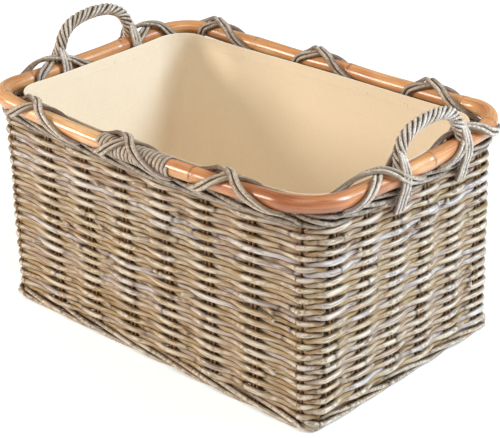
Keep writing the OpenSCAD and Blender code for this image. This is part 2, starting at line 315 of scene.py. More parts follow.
class Rail:
    """The rim pole's middle line, by distance along it from the middle of the front, going right."""

    def __init__(self, outline: Outline, height: float, samples: int = 3200) -> None:
        sizes = {k: getattr(outline, k) for k in outline.__dataclass_fields__}
        turn = 0.5 + np.linspace(0, 8, samples)
        line = outline_point(sizes, turn, 0.0, height)
        gaps = np.linalg.norm(np.diff(line, axis=0), axis=1)
        self.distance = np.concatenate([[0], np.cumsum(gaps)])
        self.length = float(self.distance[-1])
        self.line = line
        tangent = unit(np.roll(line[:-1], -1, 0) - np.roll(line[:-1], 1, 0))
        self.tangent = np.vstack([tangent, tangent[:1]])

    def _at(self, table: Array, distance: Array) -> Array:
        """A table's values at distances along the line."""
        place = np.mod(distance, self.length)
        return np.stack([np.interp(place, self.distance, table[:, k]) for k in range(3)], -1)

    def frame(self, distance: Array) -> tuple[Array, Array, Array, Array]:
        """Position and directions at distances along the line.

        Args:
            distance: The distances.

        Returns:
            Position, heading, outward direction and upward direction.
        """
        heading = unit(self._at(self.tangent, distance))
        outward = unit(np.cross(heading, UP))
        return self._at(self.line, distance), heading, outward, np.cross(outward, heading)

    def beside(self, distance: Array, out: Array, up: Array) -> Array:
        """Points at distances along the line, out from it and up from it."""
        at, _, outward, upward = self.frame(distance)
        return at + np.asarray(out)[..., None] * outward + np.asarray(up)[..., None] * upward

    def place(self, side: Side, coordinate: float) -> float:
        """Finds a point of the line by its side and coordinate.

        Args:
            side: The side that it is on.
            coordinate: Its X on a long side, or its Y on an end.

        Returns:
            Its distance along the line.
        """
        axis = 0 if side in (Side.FRONT, Side.BACK) else 1
        other = 1 - axis
        sign = -1 if side in (Side.FRONT, Side.LEFT) else 1
        score = np.abs(self.line[:, axis] - coordinate) + 1000 * (self.line[:, other] * sign < 60)
        return float(self.distance[int(np.argmin(score))])


# --------------------------------------------------------------------------- meshes


class Skin:
    """Collects tubes and grids, and makes one mesh of them with values for the finishes."""

    # The four values: where a cane's colour lies in its run, pale grey-washed colour with painted highlight,
    # painted shade in recesses, between canes and under things, and growth-ring marks.
    VALUES = ("tint", "wash", "deep", "mark")

    def __init__(self) -> None:
        self.points: list[Array] = []
        self.loops: list[Array] = []
        self.sizes: list[Array] = []
        self.uvs: list[Array] = []
        self.values: dict[str, list[Array]] = {name: [] for name in self.VALUES}
        self.count = 0

    def surface(self, points: Array, along: Array, across: Array, wrap: bool, caps: bool,
                values: dict[str, Array]) -> None:
        """Adds sheets of quads that close across, and along too if they wrap.

        Args:
            points: Shape (pieces, along, across, 3).
            along: Distance along, shape (pieces, along + 1), in metres.
            across: Distance across, shape (pieces, along + 1, across + 1), in metres.
            wrap: True if the sheet's last row joins its first.
            caps: True to close both ends with a fan.
            values: Values for the finishes, each broadcast to (pieces, along, across).
        """
        k, n, m = points.shape[:3]
        ids = self.count + np.arange(k * n * m).reshape(k, n, m)
        rows = n if wrap else n - 1
        i, j = np.arange(rows)[:, None], np.arange(m)[None, :]
        i2, j2 = (i + 1) % n, (j + 1) % m
        quads = np.stack([ids[:, i, j], ids[:, i, j2], ids[:, i2, j2], ids[:, i2, j]], -1)
        u = np.stack(np.broadcast_arrays(along[:, :rows, None], along[:, :rows, None],
                                         along[:, 1 : rows + 1, None], along[:, 1 : rows + 1, None]), -1)
        u = np.broadcast_to(u, quads.shape)
        a0, a1 = across[:, :rows], across[:, 1 : rows + 1]
        v = np.stack([a0[..., :-1], a0[..., 1:], a1[..., 1:], a1[..., :-1]], -1)
        spread = {name: np.broadcast_to(values.get(name, 0.0), (k, n, m)) for name in self.VALUES}
        self._store(points.reshape(-1, 3), quads.reshape(-1), np.full(quads[..., 0].size, 4),
                    np.stack([u, v], -1).reshape(-1, 2), {name: v.reshape(-1) for name, v in spread.items()})
        if caps:
            for row, flip in ((0, True), (n - 1, False)):
                self._cap(points[:, row], ids[:, row], along[:, row], flip,
                          {name: v[:, row].mean(1) for name, v in spread.items()})

    def _cap(self, ring: Array, ids: Array, along: Array, flip: bool, values: dict[str, Array]) -> None:
        """Closes the end of each cane with a fan.

        Args:
            ring: The end's points, shape (pieces, across, 3).
            ids: Their numbers in the mesh.
            along: Distance along at the end.
            flip: True at the first end, whose fan faces the other way.
            values: Values for the finishes, one for each cane.
        """
        k, m = ids.shape
        middle = self.count + np.arange(k)
        j = np.arange(m)
        first, second = (ids[:, (j + 1) % m], ids[:, j]) if flip else (ids[:, j], ids[:, (j + 1) % m])
        faces = np.stack([np.repeat(middle[:, None], m, 1), first, second], -1)
        uv = np.stack([np.repeat(along[:, None, None], 3, 2).repeat(m, 1), np.zeros((k, m, 3))], -1)
        values = {**values, "wash": np.full(k, 1.0)}
        self._store(ring.mean(1), faces.reshape(-1), np.full(k * m, 3), uv.reshape(-1, 2), values)

    def _store(self, points: Array, loops: Array, sizes: Array, uv: Array, values: dict[str, Array]) -> None:
        """Keeps points and faces for the mesh.

        Args:
            points: The points.
            loops: Numbers of the faces' corners, face after face.
            sizes: How many corners each face has.
            uv: Place of each corner on the piece's map.
            values: Values for the finishes at the points.
        """
        self.points.append(points)
        self.loops.append(loops)
        self.sizes.append(sizes)
        self.uvs.append(uv)
        for name in self.VALUES:
            self.values[name].append(values[name])
        self.count += len(points)

    def tubes(self, paths: Array, reference: Array, radius: Array, flat: Array = 1.0, sides: int = 8,
              closed: bool = False, ends: float = 0.0, **values: Array) -> None:
        """Adds canes swept along paths.

        A ring of the section lies round each path point: the radius times the cosine of the angle towards
        the reference direction, and the flattened radius times its sine across it.

        Args:
            paths: Shape (canes, samples, 3).
            reference: A direction that is never along the path; the section's half width lies along it.
            radius: Half size along the reference, broadcast to (canes, samples).
            flat: Half size across it, as a share of the radius.
            sides: Points round the section.
            closed: True if each path closes.
            ends: How far the two last samples round off, 0 to 1.
            values: Values for the finishes, broadcast to (canes, samples) or with a last axis round the cane.
        """
        paths = np.asarray(paths, float)
        k, n = paths.shape[:2]
        if closed:
            heading = np.roll(paths, -1, 1) - np.roll(paths, 1, 1)
        else:
            heading = np.gradient(paths, axis=1)
        heading = unit(heading)
        across = unit(np.cross(heading, np.broadcast_to(reference, paths.shape)))
        outward = np.cross(across, heading)
        radius = np.broadcast_to(np.asarray(radius, float), (k, n)).copy()
        if ends and not closed:
            radius[:, [0, -1]] *= 1 - ends
        wide = radius[..., None, None]
        thin = (radius * np.broadcast_to(flat, (k, n)))[..., None, None]
        angle = np.linspace(0, FULL_TURN, sides, endpoint=False)[None, None, :, None]
        points = paths[:, :, None] + wide * np.cos(angle) * outward[:, :, None]
        points = points - thin * np.sin(angle) * across[:, :, None]
        steps = np.linalg.norm(np.roll(paths, -1, 1) - paths, axis=-1)
        along = np.concatenate([np.zeros((k, 1)), np.cumsum(steps, 1)], 1) * MM
        closed_radius = np.concatenate([radius, radius[:, :1]], 1)[..., None]
        girth = closed_radius * np.linspace(0, FULL_TURN, sides + 1) * MM
        shaped = {name: np.asarray(v, float)[..., None] if np.ndim(v) == 2 else v
                  for name, v in values.items()}
        self.surface(points, along, girth, closed, not closed, shaped)

    def build(self, name: str, finish: bpy.types.Material, body: Body) -> bpy.types.Object:
        """Makes the object.

        Args:
            name: Its name.
            finish: Its material.
            body: The body that it moves with.

        Returns:
            The object.
        """
        mesh = bpy.data.meshes.new(name)
        points, loops = np.concatenate(self.points), np.concatenate(self.loops)
        sizes = np.concatenate(self.sizes)
        mesh.vertices.add(len(points))
        mesh.vertices.foreach_set("co", (points * MM).astype(np.float32).ravel())
        mesh.loops.add(len(loops))
        mesh.loops.foreach_set("vertex_index", loops.astype(np.int32))
        mesh.polygons.add(len(sizes))
        mesh.polygons.foreach_set("loop_start", np.concatenate([[0], np.cumsum(sizes)[:-1]]).astype(np.int32))
        mesh.polygons.foreach_set("use_smooth", np.ones(len(sizes), bool))
        mesh.update(calc_edges=True)
        layer = mesh.uv_layers.new(name="UVMap")
        layer.data.foreach_set("uv", np.concatenate(self.uvs).astype(np.float32).ravel())
        for key, parts in self.values.items():
            attribute = mesh.attributes.new(key, "FLOAT", "POINT")
            attribute.data.foreach_set("value", np.concatenate(parts).astype(np.float32))
        mesh.validate()
        mesh.materials.append(finish)
        made = bpy.data.objects.new(name, mesh)
        bpy.context.scene.collection.objects.link(made)
        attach(made, body.value)
        LOG.info("%s: %d triangles", name, int((sizes - 2).sum()))
        return made


# --------------------------------------------------------------------------- finishes


class Wire:
    """One output of a node, with arithmetic that makes more nodes."""

    def __init__(self, nodes: "Nodes", socket: bpy.types.NodeSocket) -> None:
        self.nodes = nodes
        self.socket = socket

    def _math(self, operation: str, first: object, second: object) -> "Wire":
        return self.nodes.add("ShaderNodeMath", {"operation": operation}, {0: first, 1: second})

    def __add__(self, other: object) -> "Wire":
        return self._math("ADD", self, other)

    def __radd__(self, other: object) -> "Wire":
        return self._math("ADD", other, self)

    def __sub__(self, other: object) -> "Wire":
        return self._math("SUBTRACT", self, other)

    def __rsub__(self, other: object) -> "Wire":
        return self._math("SUBTRACT", other, self)

    def __mul__(self, other: object) -> "Wire":
        return self._math("MULTIPLY", self, other)

    def clamp(self) -> "Wire":
        """The value held between 0 and 1."""
        return self.nodes.add("ShaderNodeClamp", {}, {0: self})

    def between(self, low: float, high: float) -> "Wire":
        """A smooth step from 0 at low to 1 at high."""
        settings = {"interpolation_type": "SMOOTHSTEP"}
        return self.nodes.add("ShaderNodeMapRange", settings, {0: self, 1: low, 2: high})


class Nodes:
    """Adds nodes to a new material."""

    def __init__(self, name: str) -> None:
        self.material = bpy.data.materials.new(name)
        self.material.use_nodes = True
        self.tree = self.material.node_tree
        self.tree.nodes.clear()

    def add(self, kind: str, settings: dict[str, object], inputs: dict[object, object],
            output: object = 0) -> Wire:
        """Adds one node.

        Args:
            kind: The node's type.
            settings: Its properties.
            inputs: Its inputs by name or number, each a wire or a constant.
            output: Name or number of the output to give back.

        Returns:
            That output.
        """
        node = self.tree.nodes.new(kind)
        for key, value in settings.items():
            setattr(node, key, value)
        for key, value in inputs.items():
            if isinstance(value, Wire):
                self.tree.links.new(value.socket, node.inputs[key])
            elif isinstance(value, tuple) and len(value) == 3 and len(node.inputs[key].default_value) == 4:
                node.inputs[key].default_value = (*value, 1.0)
            else:
                node.inputs[key].default_value = value
        return Wire(self, node.outputs[output] if node.outputs else None)

    def value(self, name: str) -> Wire:
        """A value that the mesh carries at its points."""
        return self.add("ShaderNodeAttribute", {"attribute_name": name}, {}, "Fac")

    def mix(self, share: object, first: object, second: object, blend: str = "MIX") -> Wire:
        """Mixes two colours."""
        settings = {"data_type": "RGBA", "blend_type": blend, "clamp_factor": True}
        return self.add("ShaderNodeMix", settings, {0: share, 6: first, 7: second}, 2)

    def grey(self, value: Wire) -> Wire:
        """A grey colour of a value."""
        return self.add("ShaderNodeCombineColor", {}, {0: value, 1: value, 2: value})

    def place(self, u: float, v: float, shift: object = 0.0) -> Wire:
        """The place on the piece's own map, stretched, with a shift that sets neighbours apart."""
        uv = self.add("ShaderNodeUVMap", {"uv_map": "UVMap"}, {})
        split = {name: self.add("ShaderNodeSeparateXYZ", {}, {0: uv}, name) for name in ("X", "Y")}
        return self.add("ShaderNodeCombineXYZ", {}, {0: split["X"] * u, 1: split["Y"] * v, 2: shift})

    def noise(self, vector: Wire, detail: float = 2.0, rough: float = 0.5) -> Wire:
        """Soft noise, about 0.25 to 0.75."""
        inputs = {"Vector": vector, "Scale": 1.0, "Detail": detail, "Roughness": rough}
        return self.add("ShaderNodeTexNoise", {}, inputs)

    def ramp(self, share: Wire, colours: tuple[Colour, ...]) -> Wire:
        """An even run of colours.

        Args:
            share: Place in the run, 0 to 1.
            colours: The colours.

        Returns:
            The colour there.
        """
        wire = self.add("ShaderNodeValToRGB", {}, {0: share})
        elements = wire.socket.node.color_ramp.elements
        step = 1.0 / (len(colours) - 1)
        while len(elements) < len(colours):
            elements.new(0.5)
        for index, (element, colour) in enumerate(zip(elements, colours)):
            element.position = index * step
            element.color = (*colour, 1.0)
        return wire

    def bump(self, height: Wire, depth_mm: float, strength: float) -> Wire:
        """A normal from a height."""
        inputs = {"Height": height, "Distance": depth_mm * MM, "Strength": strength}
        return self.add("ShaderNodeBump", {}, inputs)

    def finish(self, inputs: dict[object, object]) -> bpy.types.Material:
        """Puts the principled shader on the surface."""
        shader = self.add("ShaderNodeBsdfPrincipled", {}, inputs)
        self.add("ShaderNodeOutputMaterial", {}, {"Surface": shader})
        return self.material


@dataclass(frozen=True)
class CaneFinish:
    """Weathered, grey-washed cane.

    Attributes:
        name: Name of the finish.
        colours: Run of colours that canes are picked from.
        wash: Colour of the pale grey-washed faces, also used as painted highlight on the raised, outer and
            upper faces.
        shade_and_mark_colour: Colour of the painted shade in recesses and between canes, and of growth rings
            and cracks.
        wash_and_highlight_share: How much pale grey-washed colour and painted highlight there is.
        streak: Strength of the fibres' light and dark.
        roughness: Roughness.
    """

    name: str
    colours: tuple[Colour, ...]
    wash: Colour = linear(0.94, 0.90, 0.84)
    # Painted shade colour for recesses and gaps between canes; growth rings and cracks take it too.
    shade_and_mark_colour: Colour = linear(0.20, 0.13, 0.08)
    wash_and_highlight_share: float = 0.75
    streak: float = 0.55
    roughness: float = 0.52

    def make(self) -> bpy.types.Material:
        """Makes the material.

        Returns:
            The material.
        """
        n = Nodes(self.name)
        tint, wash, deep, mark = (n.value(k) for k in ("tint", "wash", "deep", "mark"))
        drift = n.noise(n.place(14, 30, tint * 40.0), detail=2.0)
        fibre = n.noise(n.place(16, 620, tint * 90.0), detail=2.0, rough=0.5)
        fine = n.noise(n.place(90, 2200, tint * 50.0), detail=1.0)
        patch = n.noise(n.place(9, 150, tint * 70.0), detail=2.0, rough=0.5)
        base = n.ramp((tint + (drift - 0.5) * 0.9).clamp(), self.colours)
        light = 1.0 + (fibre - 0.5) * (2.4 * self.streak) + (fine - 0.5) * (0.35 * self.streak)
        base = n.mix(1.0, base, n.grey(light), "MULTIPLY")
        # Pale grey-washed colour, which also serves as painted highlight where the mesh says the cane faces
        # out and up.
        wash_and_highlight_mix = (wash * (patch + (fibre - 0.5) * 0.6).between(0.30, 0.66) * self.wash_and_highlight_share).clamp()
        base = n.mix(wash_and_highlight_mix, base, self.wash)
        cracks = fibre.between(0.36, 0.28) * 0.5
        # Painted shade in recesses and between canes, cracks and growth rings darken towards the shade
        # colour.
        base = n.mix((deep + cracks * (1.0 - wash) + mark * 0.8).clamp(), base, self.shade_and_mark_colour)
        height = fibre - mark * 0.5
        return n.finish({"Base Color": base, "Roughness": (self.roughness + (patch - 0.5) * 0.4).clamp(),
                         "Normal": n.bump(height, 0.4, 0.4), "Specular IOR Level": 0.4})


@dataclass(frozen=True)
class PoleFinish:
    """Peeled, varnished cane, orange-tan and glossy."""

    name: str = "rim_cane"
    colours: tuple[Colour, ...] = (linear(0.58, 0.33, 0.19), linear(0.73, 0.46, 0.28),
                                   linear(0.83, 0.60, 0.39), linear(0.93, 0.78, 0.58))
    dark: Colour = linear(0.33, 0.17, 0.09)

    def make(self) -> bpy.types.Material:
        """Makes the material.

        Returns:
            The material.
        """
        n = Nodes(self.name)
        drift = n.noise(n.place(5, 24), detail=3.0, rough=0.55)
        fibre = n.noise(n.place(14, 420), detail=3.0, rough=0.6)
        patch = n.noise(n.place(22, 60, 7.0), detail=4.0, rough=0.6)
        mark, deep = n.value("mark"), n.value("deep")
        run = (drift - 0.5) * 1.6 + n.value("tint") + (patch - 0.5) * 0.5 + (fibre - 0.5) * 0.5
        base = n.ramp(run.clamp(), self.colours)
        base = n.mix(1.0, base, n.grey(1.0 + (fibre - 0.5) * 0.55), "MULTIPLY")
        spots = patch.between(0.66, 0.76) * fibre.between(0.45, 0.62) * 0.45
        # Growth rings, spots and the painted shade on the pole's underside go to the dark colour.
        base = n.mix((mark * patch.between(0.40, 0.58) * 0.85 + spots + deep).clamp(), base, self.dark)
        return n.finish({"Base Color": base, "Roughness": (0.30 + (patch - 0.5) * 0.25 + mark * 0.3).clamp(),
                         "Normal": n.bump(fibre * 0.4 + patch * 0.4 - mark * 0.6, 0.4, 0.5),
                         "Coat Weight": 0.35, "Coat Roughness": 0.22})


@dataclass(frozen=True)
class ClothFinish:
    """Unbleached cotton canvas with a fine weave and faint flecks."""

    name: str = "liner_cloth"
    colour: Colour = linear(0.94, 0.875, 0.78)
    fleck: Colour = linear(0.70, 0.58, 0.42)
    thread_m: float = 0.0011

    def make(self) -> bpy.types.Material:
        """Makes the material.

        Returns:
            The material.
        """
        n = Nodes(self.name)
        rate = 1.0 / self.thread_m
        at = n.place(rate, rate)
        thread = {"Vector": at, "Scale": 0.314, "Distortion": 1.2, "Detail Scale": 0.4}
        warp, weft = (n.add("ShaderNodeTexWave", {"wave_type": "BANDS", "bands_direction": way}, thread)
                      for way in "XY")
        slub = n.noise(n.place(60, 900), detail=2.0) + n.noise(n.place(900, 60), detail=2.0) - 1.0
        drift = n.noise(n.place(7, 7), detail=3.0)
        fleck = n.noise(n.place(420, 620), detail=1.0).between(0.70, 0.76) * 0.5
        base = n.mix(fleck, self.colour, self.fleck)
        base = n.mix(1.0, base, n.grey(1.0 + slub * 0.10 + (drift - 0.5) * 0.08), "MULTIPLY")
        height = warp * 0.5 + weft * 0.5 + slub * 0.8
        return n.finish({"Base Color": base, "Roughness": 0.92, "Normal": n.bump(height, 0.35, 0.45),
                         "Sheen Weight": 0.15, "Sheen Roughness": 0.5, "Specular IOR Level": 0.2})


@dataclass(frozen=True)
class FloorFinish:
    """Plain pale studio floor."""

    name: str = "pale_floor"
    colour: Colour = (0.90, 0.94, 0.98)
    glow: float = 0.36

    def make(self) -> bpy.types.Material:
        """Makes the material.

        Returns:
            The material.
        """
        n = Nodes(self.name)
        return n.finish({"Base Color": self.colour, "Roughness": 0.9, "Specular IOR Level": 0.1,
                         "Emission Color": (0.93, 0.97, 1.0), "Emission Strength": self.glow})


# Grey-washed canes run from brown and olive through beige to mauve and bluish grey.
BROWN, OLIVE = linear(0.42, 0.31, 0.21), linear(0.63, 0.51, 0.32)
TAN, BEIGE = linear(0.64, 0.51, 0.37), linear(0.68, 0.60, 0.51)
MAUVE, BLUE_GREY = linear(0.60, 0.52, 0.49), linear(0.74, 0.70, 0.69)
GREY_BROWN, SMOKE = linear(0.54, 0.46, 0.38), linear(0.47, 0.40, 0.34)


class Finishes:
    """Every material of the basket, made once."""

    def __init__(self) -> None:
        weave = (BROWN, TAN, OLIVE, BEIGE, TAN, MAUVE, BLUE_GREY)
        stake = (linear(0.50, 0.36, 0.24), linear(0.62, 0.48, 0.34))
        lashing = (GREY_BROWN, MAUVE, BEIGE, GREY_BROWN)
        handle = (GREY_BROWN, BEIGE, MAUVE, BLUE_GREY)
        self.weave = CaneFinish("weave_cane", weave, roughness=0.42).make()
        self.stake = CaneFinish("stake_cane", stake, wash_and_highlight_share=0.2).make()
        self.border = CaneFinish("border_cane", (BROWN, TAN, GREY_BROWN, BEIGE, MAUVE)).make()
        self.band = CaneFinish("band_cane", (BROWN, GREY_BROWN, SMOKE, MAUVE), wash_and_highlight_share=0.45).make()
        self.binding = CaneFinish("binding_cane", handle[:3], wash_and_highlight_share=0.5, streak=0.4).make()
        self.lashing = CaneFinish("lashing_cane", lashing, roughness=0.42).make()
        self.handle = CaneFinish("handle_cane", handle, wash_and_highlight_share=0.9, roughness=0.42).make()
        self.pole = PoleFinish().make()
        self.cloth = ClothFinish().make()
        self.floor = FloorFinish().make()


# --------------------------------------------------------------------------- pieces


@dataclass(frozen=True)
class StakePlan:
    """Where the groups of upright stakes stand.

    Attributes:
        long_pitch: Spacing of the pairs on a long wall.
        end_pitch: Spacing of the pairs on an end wall.
        per_side: Pairs on each wall.
        gap: Spacing of the stakes of a group.
        corner_share: Share of the corner, from the long wall, where its group is centred.
    """

    long_pitch: float = 77.4
    end_pitch: float = 60.4
    per_side: int = 6
    gap: float = 6.5
    corner_share: float = 0.03

    def groups(self) -> Array:
        """Finds the middles of all groups: the pairs of each wall, then the group of the corner after it.

        Returns:
            Their turns, in order.
        """
        found = []
        for side in Side:
            pitch = self.long_pitch if side in (Side.FRONT, Side.BACK) else self.end_pitch
            found += [turn_of(side, (i - (self.per_side - 1) / 2) * pitch) for i in range(self.per_side)]
            from_long = side in (Side.FRONT, Side.BACK)
            found.append(2 * side.value + 1 + (self.corner_share if from_long else 1 - self.corner_share))
        return np.array(found)

    def stakes(self) -> Array:
        """Finds the single stakes: two beside the middle of a pair, three at a corner.

        Returns:
            Their turns, group by group.
        """
        found = []
        for index, turn in enumerate(self.groups()):
            if index % (self.per_side + 1) == self.per_side:
                found += [moved_turn(turn, i * self.gap * 0.92) for i in (-1, 0, 1)]
            else:
                found += [moved_turn(turn, i * self.gap / 2) for i in (-1, 1)]
        return np.array(found)

    def phase(self, turn: Array) -> Array:
        """Number of the group at each turn, with fractions between groups."""
        groups = self.groups()
        turns = np.concatenate([groups[-1:] - 8, groups, groups[:1] + 8])
        return np.interp(turn, turns, np.arange(-1, len(groups) + 1))

    def samples(self, per_bay: int, corner: int) -> Array:
        """Places to sample a woven row at: evenly in each bay, and closer round the corners.

        Args:
            per_bay: Samples between one group and the next.
            corner: Samples added on each corner.

        Returns:
            The turns, with those that nearly coincide left out.
        """
        groups = self.groups()
        ends = np.concatenate([groups, groups[:1] + 8])
        bays = zip(ends[:-1], ends[1:])
        spread = np.concatenate([np.linspace(a, b, per_bay, endpoint=False) for a, b in bays])
        bends = np.concatenate([np.linspace(k, k + 1, corner) for k in CORNERS])
        turns = np.unique(np.round(np.mod(np.concatenate([spread, bends]), 8), 4))
        return turns[np.diff(turns, prepend=-1.0) > 0.008]


@dataclass
class WovenWall:
    """The plain weave of the four walls, in closed rows round the stakes.

    Each row swings out and in by a cosine of the number of groups passed, and each next row is a half
    wave on, so it goes behind the stakes that the last one passed in front of.

    Attributes:
        plan: The stakes.
        rows: Number of rows.
        first_z: Height of the first row.
        pitch: Spacing of the rows.
        cane_r: Radius of a weaver.
        swing: How far a row swings out and in from the stakes' middle.
    """

    plan: StakePlan
    rows: int = 36
    first_z: float = 19.6
    pitch: float = 7.13
    cane_r: float = 3.7
    swing: float = 5.5
    seed: int = 11

    def build(self, finishes: Finishes) -> list[bpy.types.Object]:
        """Makes the rows as pieces stacked on one another.

        Args:
            finishes: The materials.

        Returns:
            The pieces.
        """
        rng = np.random.default_rng(self.seed)
        turn = self.plan.samples(17, 6)[None, :]
        row = np.arange(self.rows)[:, None]
        phase = self.plan.phase(turn)
        share = phase / len(self.plan.groups())
        swing = np.cos(np.pi * (phase - row))
        behind = np.clip(-swing, 0, 1)
        shape = np.where(swing < 0, -behind**6, np.abs(swing) ** 1.3)
        loose = 1 + 0.12 * waver(rng, self.rows, share, (9, 17, 23))
        out = self.swing * np.where(shape < 0, 0.95, 1.0) * shape * loose
        out = out + 0.35 * waver(rng, self.rows, share, (5, 8))
        sway = 1.7 * np.sin(FULL_TURN * (2 * share + row / 31))
        sway = sway + 1.1 * np.sin(FULL_TURN * (5 * share - row / 19 + 0.3))
        height = self.first_z + self.pitch * row + sway * np.sin(np.pi * (row + 0.5) / self.rows)
        height = height + 0.45 * waver(rng, self.rows, share, (11, 19, 27)) - 1.6 * behind
        paths = WALL.point(turn, height, out)
        taper = 1 + 0.08 * waver(rng, self.rows, share, (1, 2, 3)) + rng.normal(0, 0.035, (self.rows, 1))
        radius = self.cane_r * taper
        flat = 0.98 + 0.14 * np.abs(swing) ** 2 + 0.2 * behind**2
        tint, mark = self._canes(rng, share)
        ring = ring_angles(8)
        # Pale grey-washed colour with painted highlight on the upper outer face of canes that swing out, and
        # on the inner face of canes behind the stakes.
        facing = np.clip(np.cos(ring - 0.6), 0, 1)[None, None, :]
        wash = np.clip(0.15 + 0.85 * swing, 0, 1)[..., None] * (0.15 + 0.85 * facing)
        wash = wash + 0.6 * behind[..., None] * np.clip(-np.cos(ring), 0, 1)
        # Painted shade on canes where they go behind the stakes, and between neighbouring canes.
        deep = 0.85 * (behind**10)[..., None] * np.clip(np.cos(ring) + 0.3, 0, 1) + painted_crevice_shade(ring, 0.55)
        made = []
        parts = {"weave_low": slice(0, 13), "weave_middle": slice(13, 25), "weave_high": slice(25, 36)}
        for name, rows in parts.items():
            skin = Skin()
            skin.tubes(paths[rows], paths[rows] * [1, 1, 0], radius[rows], flat[rows], 8, True,
                       tint=tint[rows], mark=mark[rows], deep=deep[rows], wash=wash[rows])
            made.append(skin.build(name, finishes.weave, Body.BASKET))
        return made

    def _canes(self, rng: np.random.Generator, share: Array) -> tuple[Array, Array]:
        """Colours the rows as if each were several canes joined end to end.

        Args:
            rng: Source of the colours and places.
            share: Place along the rows, 0 to 1.

        Returns:
            The colour along each row, and the marks of its growth rings.
        """
        tint = np.zeros((self.rows, share.shape[1]))
        mark = np.zeros_like(tint)
        for row in range(self.rows):
            joints = np.sort(rng.uniform(0, 1, 5))
            picks = rng.beta(1.6, 1.6, 6)
            tint[row] = picks[np.searchsorted(joints, share[0])]
            for ring in rng.uniform(0, 1, 8):
                mark[row] += bell(share[0] - ring, KNOT_WIDTH)
        return np.clip(tint + 0.06 * waver(rng, self.rows, share, (7, 13)), 0, 1), np.clip(mark, 0, 1)


@dataclass
class Stakes:
    """The upright stakes, in pairs along the walls and in threes at the corners."""

    plan: StakePlan
    radius: float = 2.45
    foot_z: float = 7.0
    top_z: float = 294.0
    samples: int = 16

    def build(self, finishes: Finishes) -> bpy.types.Object:
        """Makes the stakes.

        Args:
            finishes: The materials.

        Returns:
            The piece.
        """
        rng = np.random.default_rng(3)
        turn = self.plan.stakes()[:, None]
        height = np.linspace(self.foot_z, self.top_z, self.samples)[None, :]
        out = 0.5 * waver(rng, turn.shape[0], height / 290, (2, 3))
        paths = WALL.point(turn, height, out)
        skin = Skin()
        tint = np.repeat(rng.uniform(0, 1, (turn.shape[0], 1)), self.samples, 1)
        # A slight even painted shade on the stakes.
        skin.tubes(paths, np.array([0.8, 0.6, 0.0]), self.radius, 1.0, 8, ends=0.15, tint=tint,
                   deep=np.full(paths.shape[:2], 0.05))
        return skin.build("stakes", finishes.stake, Body.BASKET)


@dataclass
class TwistedBorder:
    """Canes twisted together round the basket: each goes round the others as it passes the stakes.

    Attributes:
        name: Name of the piece.
        plan: The stakes.
        middle_z: Height of the twist's middle.
        proud: How far its middle stands out from the stakes.
        strands: Number of canes.
        turns: Twists in the whole way round.
        reach_out: How far a cane swings out.
        reach_up: How far it swings up.
        radius: Radius of a cane.
        least_z: Lowest that a cane's middle may be.
        backing: Radius of the turned-in run behind the twist, 0 for none.
    """

    name: str
    plan: StakePlan
    middle_z: float
    proud: float
    strands: int
    turns: int
    reach_out: float
    reach_up: float
    radius: float
    least_z: float = 0.0
    backing: float = 0.0
    seed: int = 5

    def build(self, finish: bpy.types.Material) -> bpy.types.Object:
        """Makes the border.

        Args:
            finish: Its material.

        Returns:
            The piece.
        """
        rng = np.random.default_rng(self.seed)
        turn = self.plan.samples(14, 8)[None, :]
        share = self.plan.phase(turn) / len(self.plan.groups())
        angle = FULL_TURN * (np.arange(self.strands)[:, None] / self.strands - self.turns * share)
        angle = angle + 0.25 * waver(rng, self.strands, share, (7, 11))
        out = self.proud + self.reach_out * np.cos(angle)
        height = np.maximum(self.middle_z + self.reach_up * np.sin(angle), self.least_z)
        paths = WALL.point(turn, height, out)
        ring = ring_angles(10)
        # Pale grey-washed colour with painted highlight on the upper outer face of the strands that lie
        # outermost.
        facing = 0.1 + 0.9 * np.clip(np.cos(ring - 0.6), 0, 1)
        wash = np.clip(0.2 + 0.8 * np.cos(angle), 0, 1)[..., None] * facing
        # Painted shade on strands where they pass behind the others, and between strands.
        inner_shade = 0.5 * np.clip(-np.cos(angle), 0, 1)[..., None]
        deep = inner_shade * np.clip(np.cos(ring) + 0.3, 0, 1) + painted_crevice_shade(ring, 0.5)
        mark = np.zeros(paths.shape[:2])
        for row in range(self.strands):
            for place in rng.uniform(0, 1, 12):
                mark[row] += bell(share[0] - place, KNOT_WIDTH)
        tint = cane_tint(rng, self.strands, share, (3, 7, 13))
        skin = Skin()
        if self.backing:
            inner = WALL.point(turn, self.middle_z - 1.0, self.proud - 7.0)
            # The turned-in run behind the twist is darkened with painted shade.
            skin.tubes(inner, inner * [1, 1, 0], self.backing, 1.0, 10, True, tint=np.full(turn.shape, 0.2),
                       deep=np.full(turn.shape, 0.75))
        radius = self.radius * (1 + 0.06 * waver(rng, self.strands, share, (2, 5)))
        skin.tubes(paths, paths * [1, 1, 0], radius, 1.0, 10, True, tint=tint, mark=np.clip(mark, 0, 1),
                   wash=wash, deep=deep)
        return skin.build(self.name, finish, Body.BASKET)


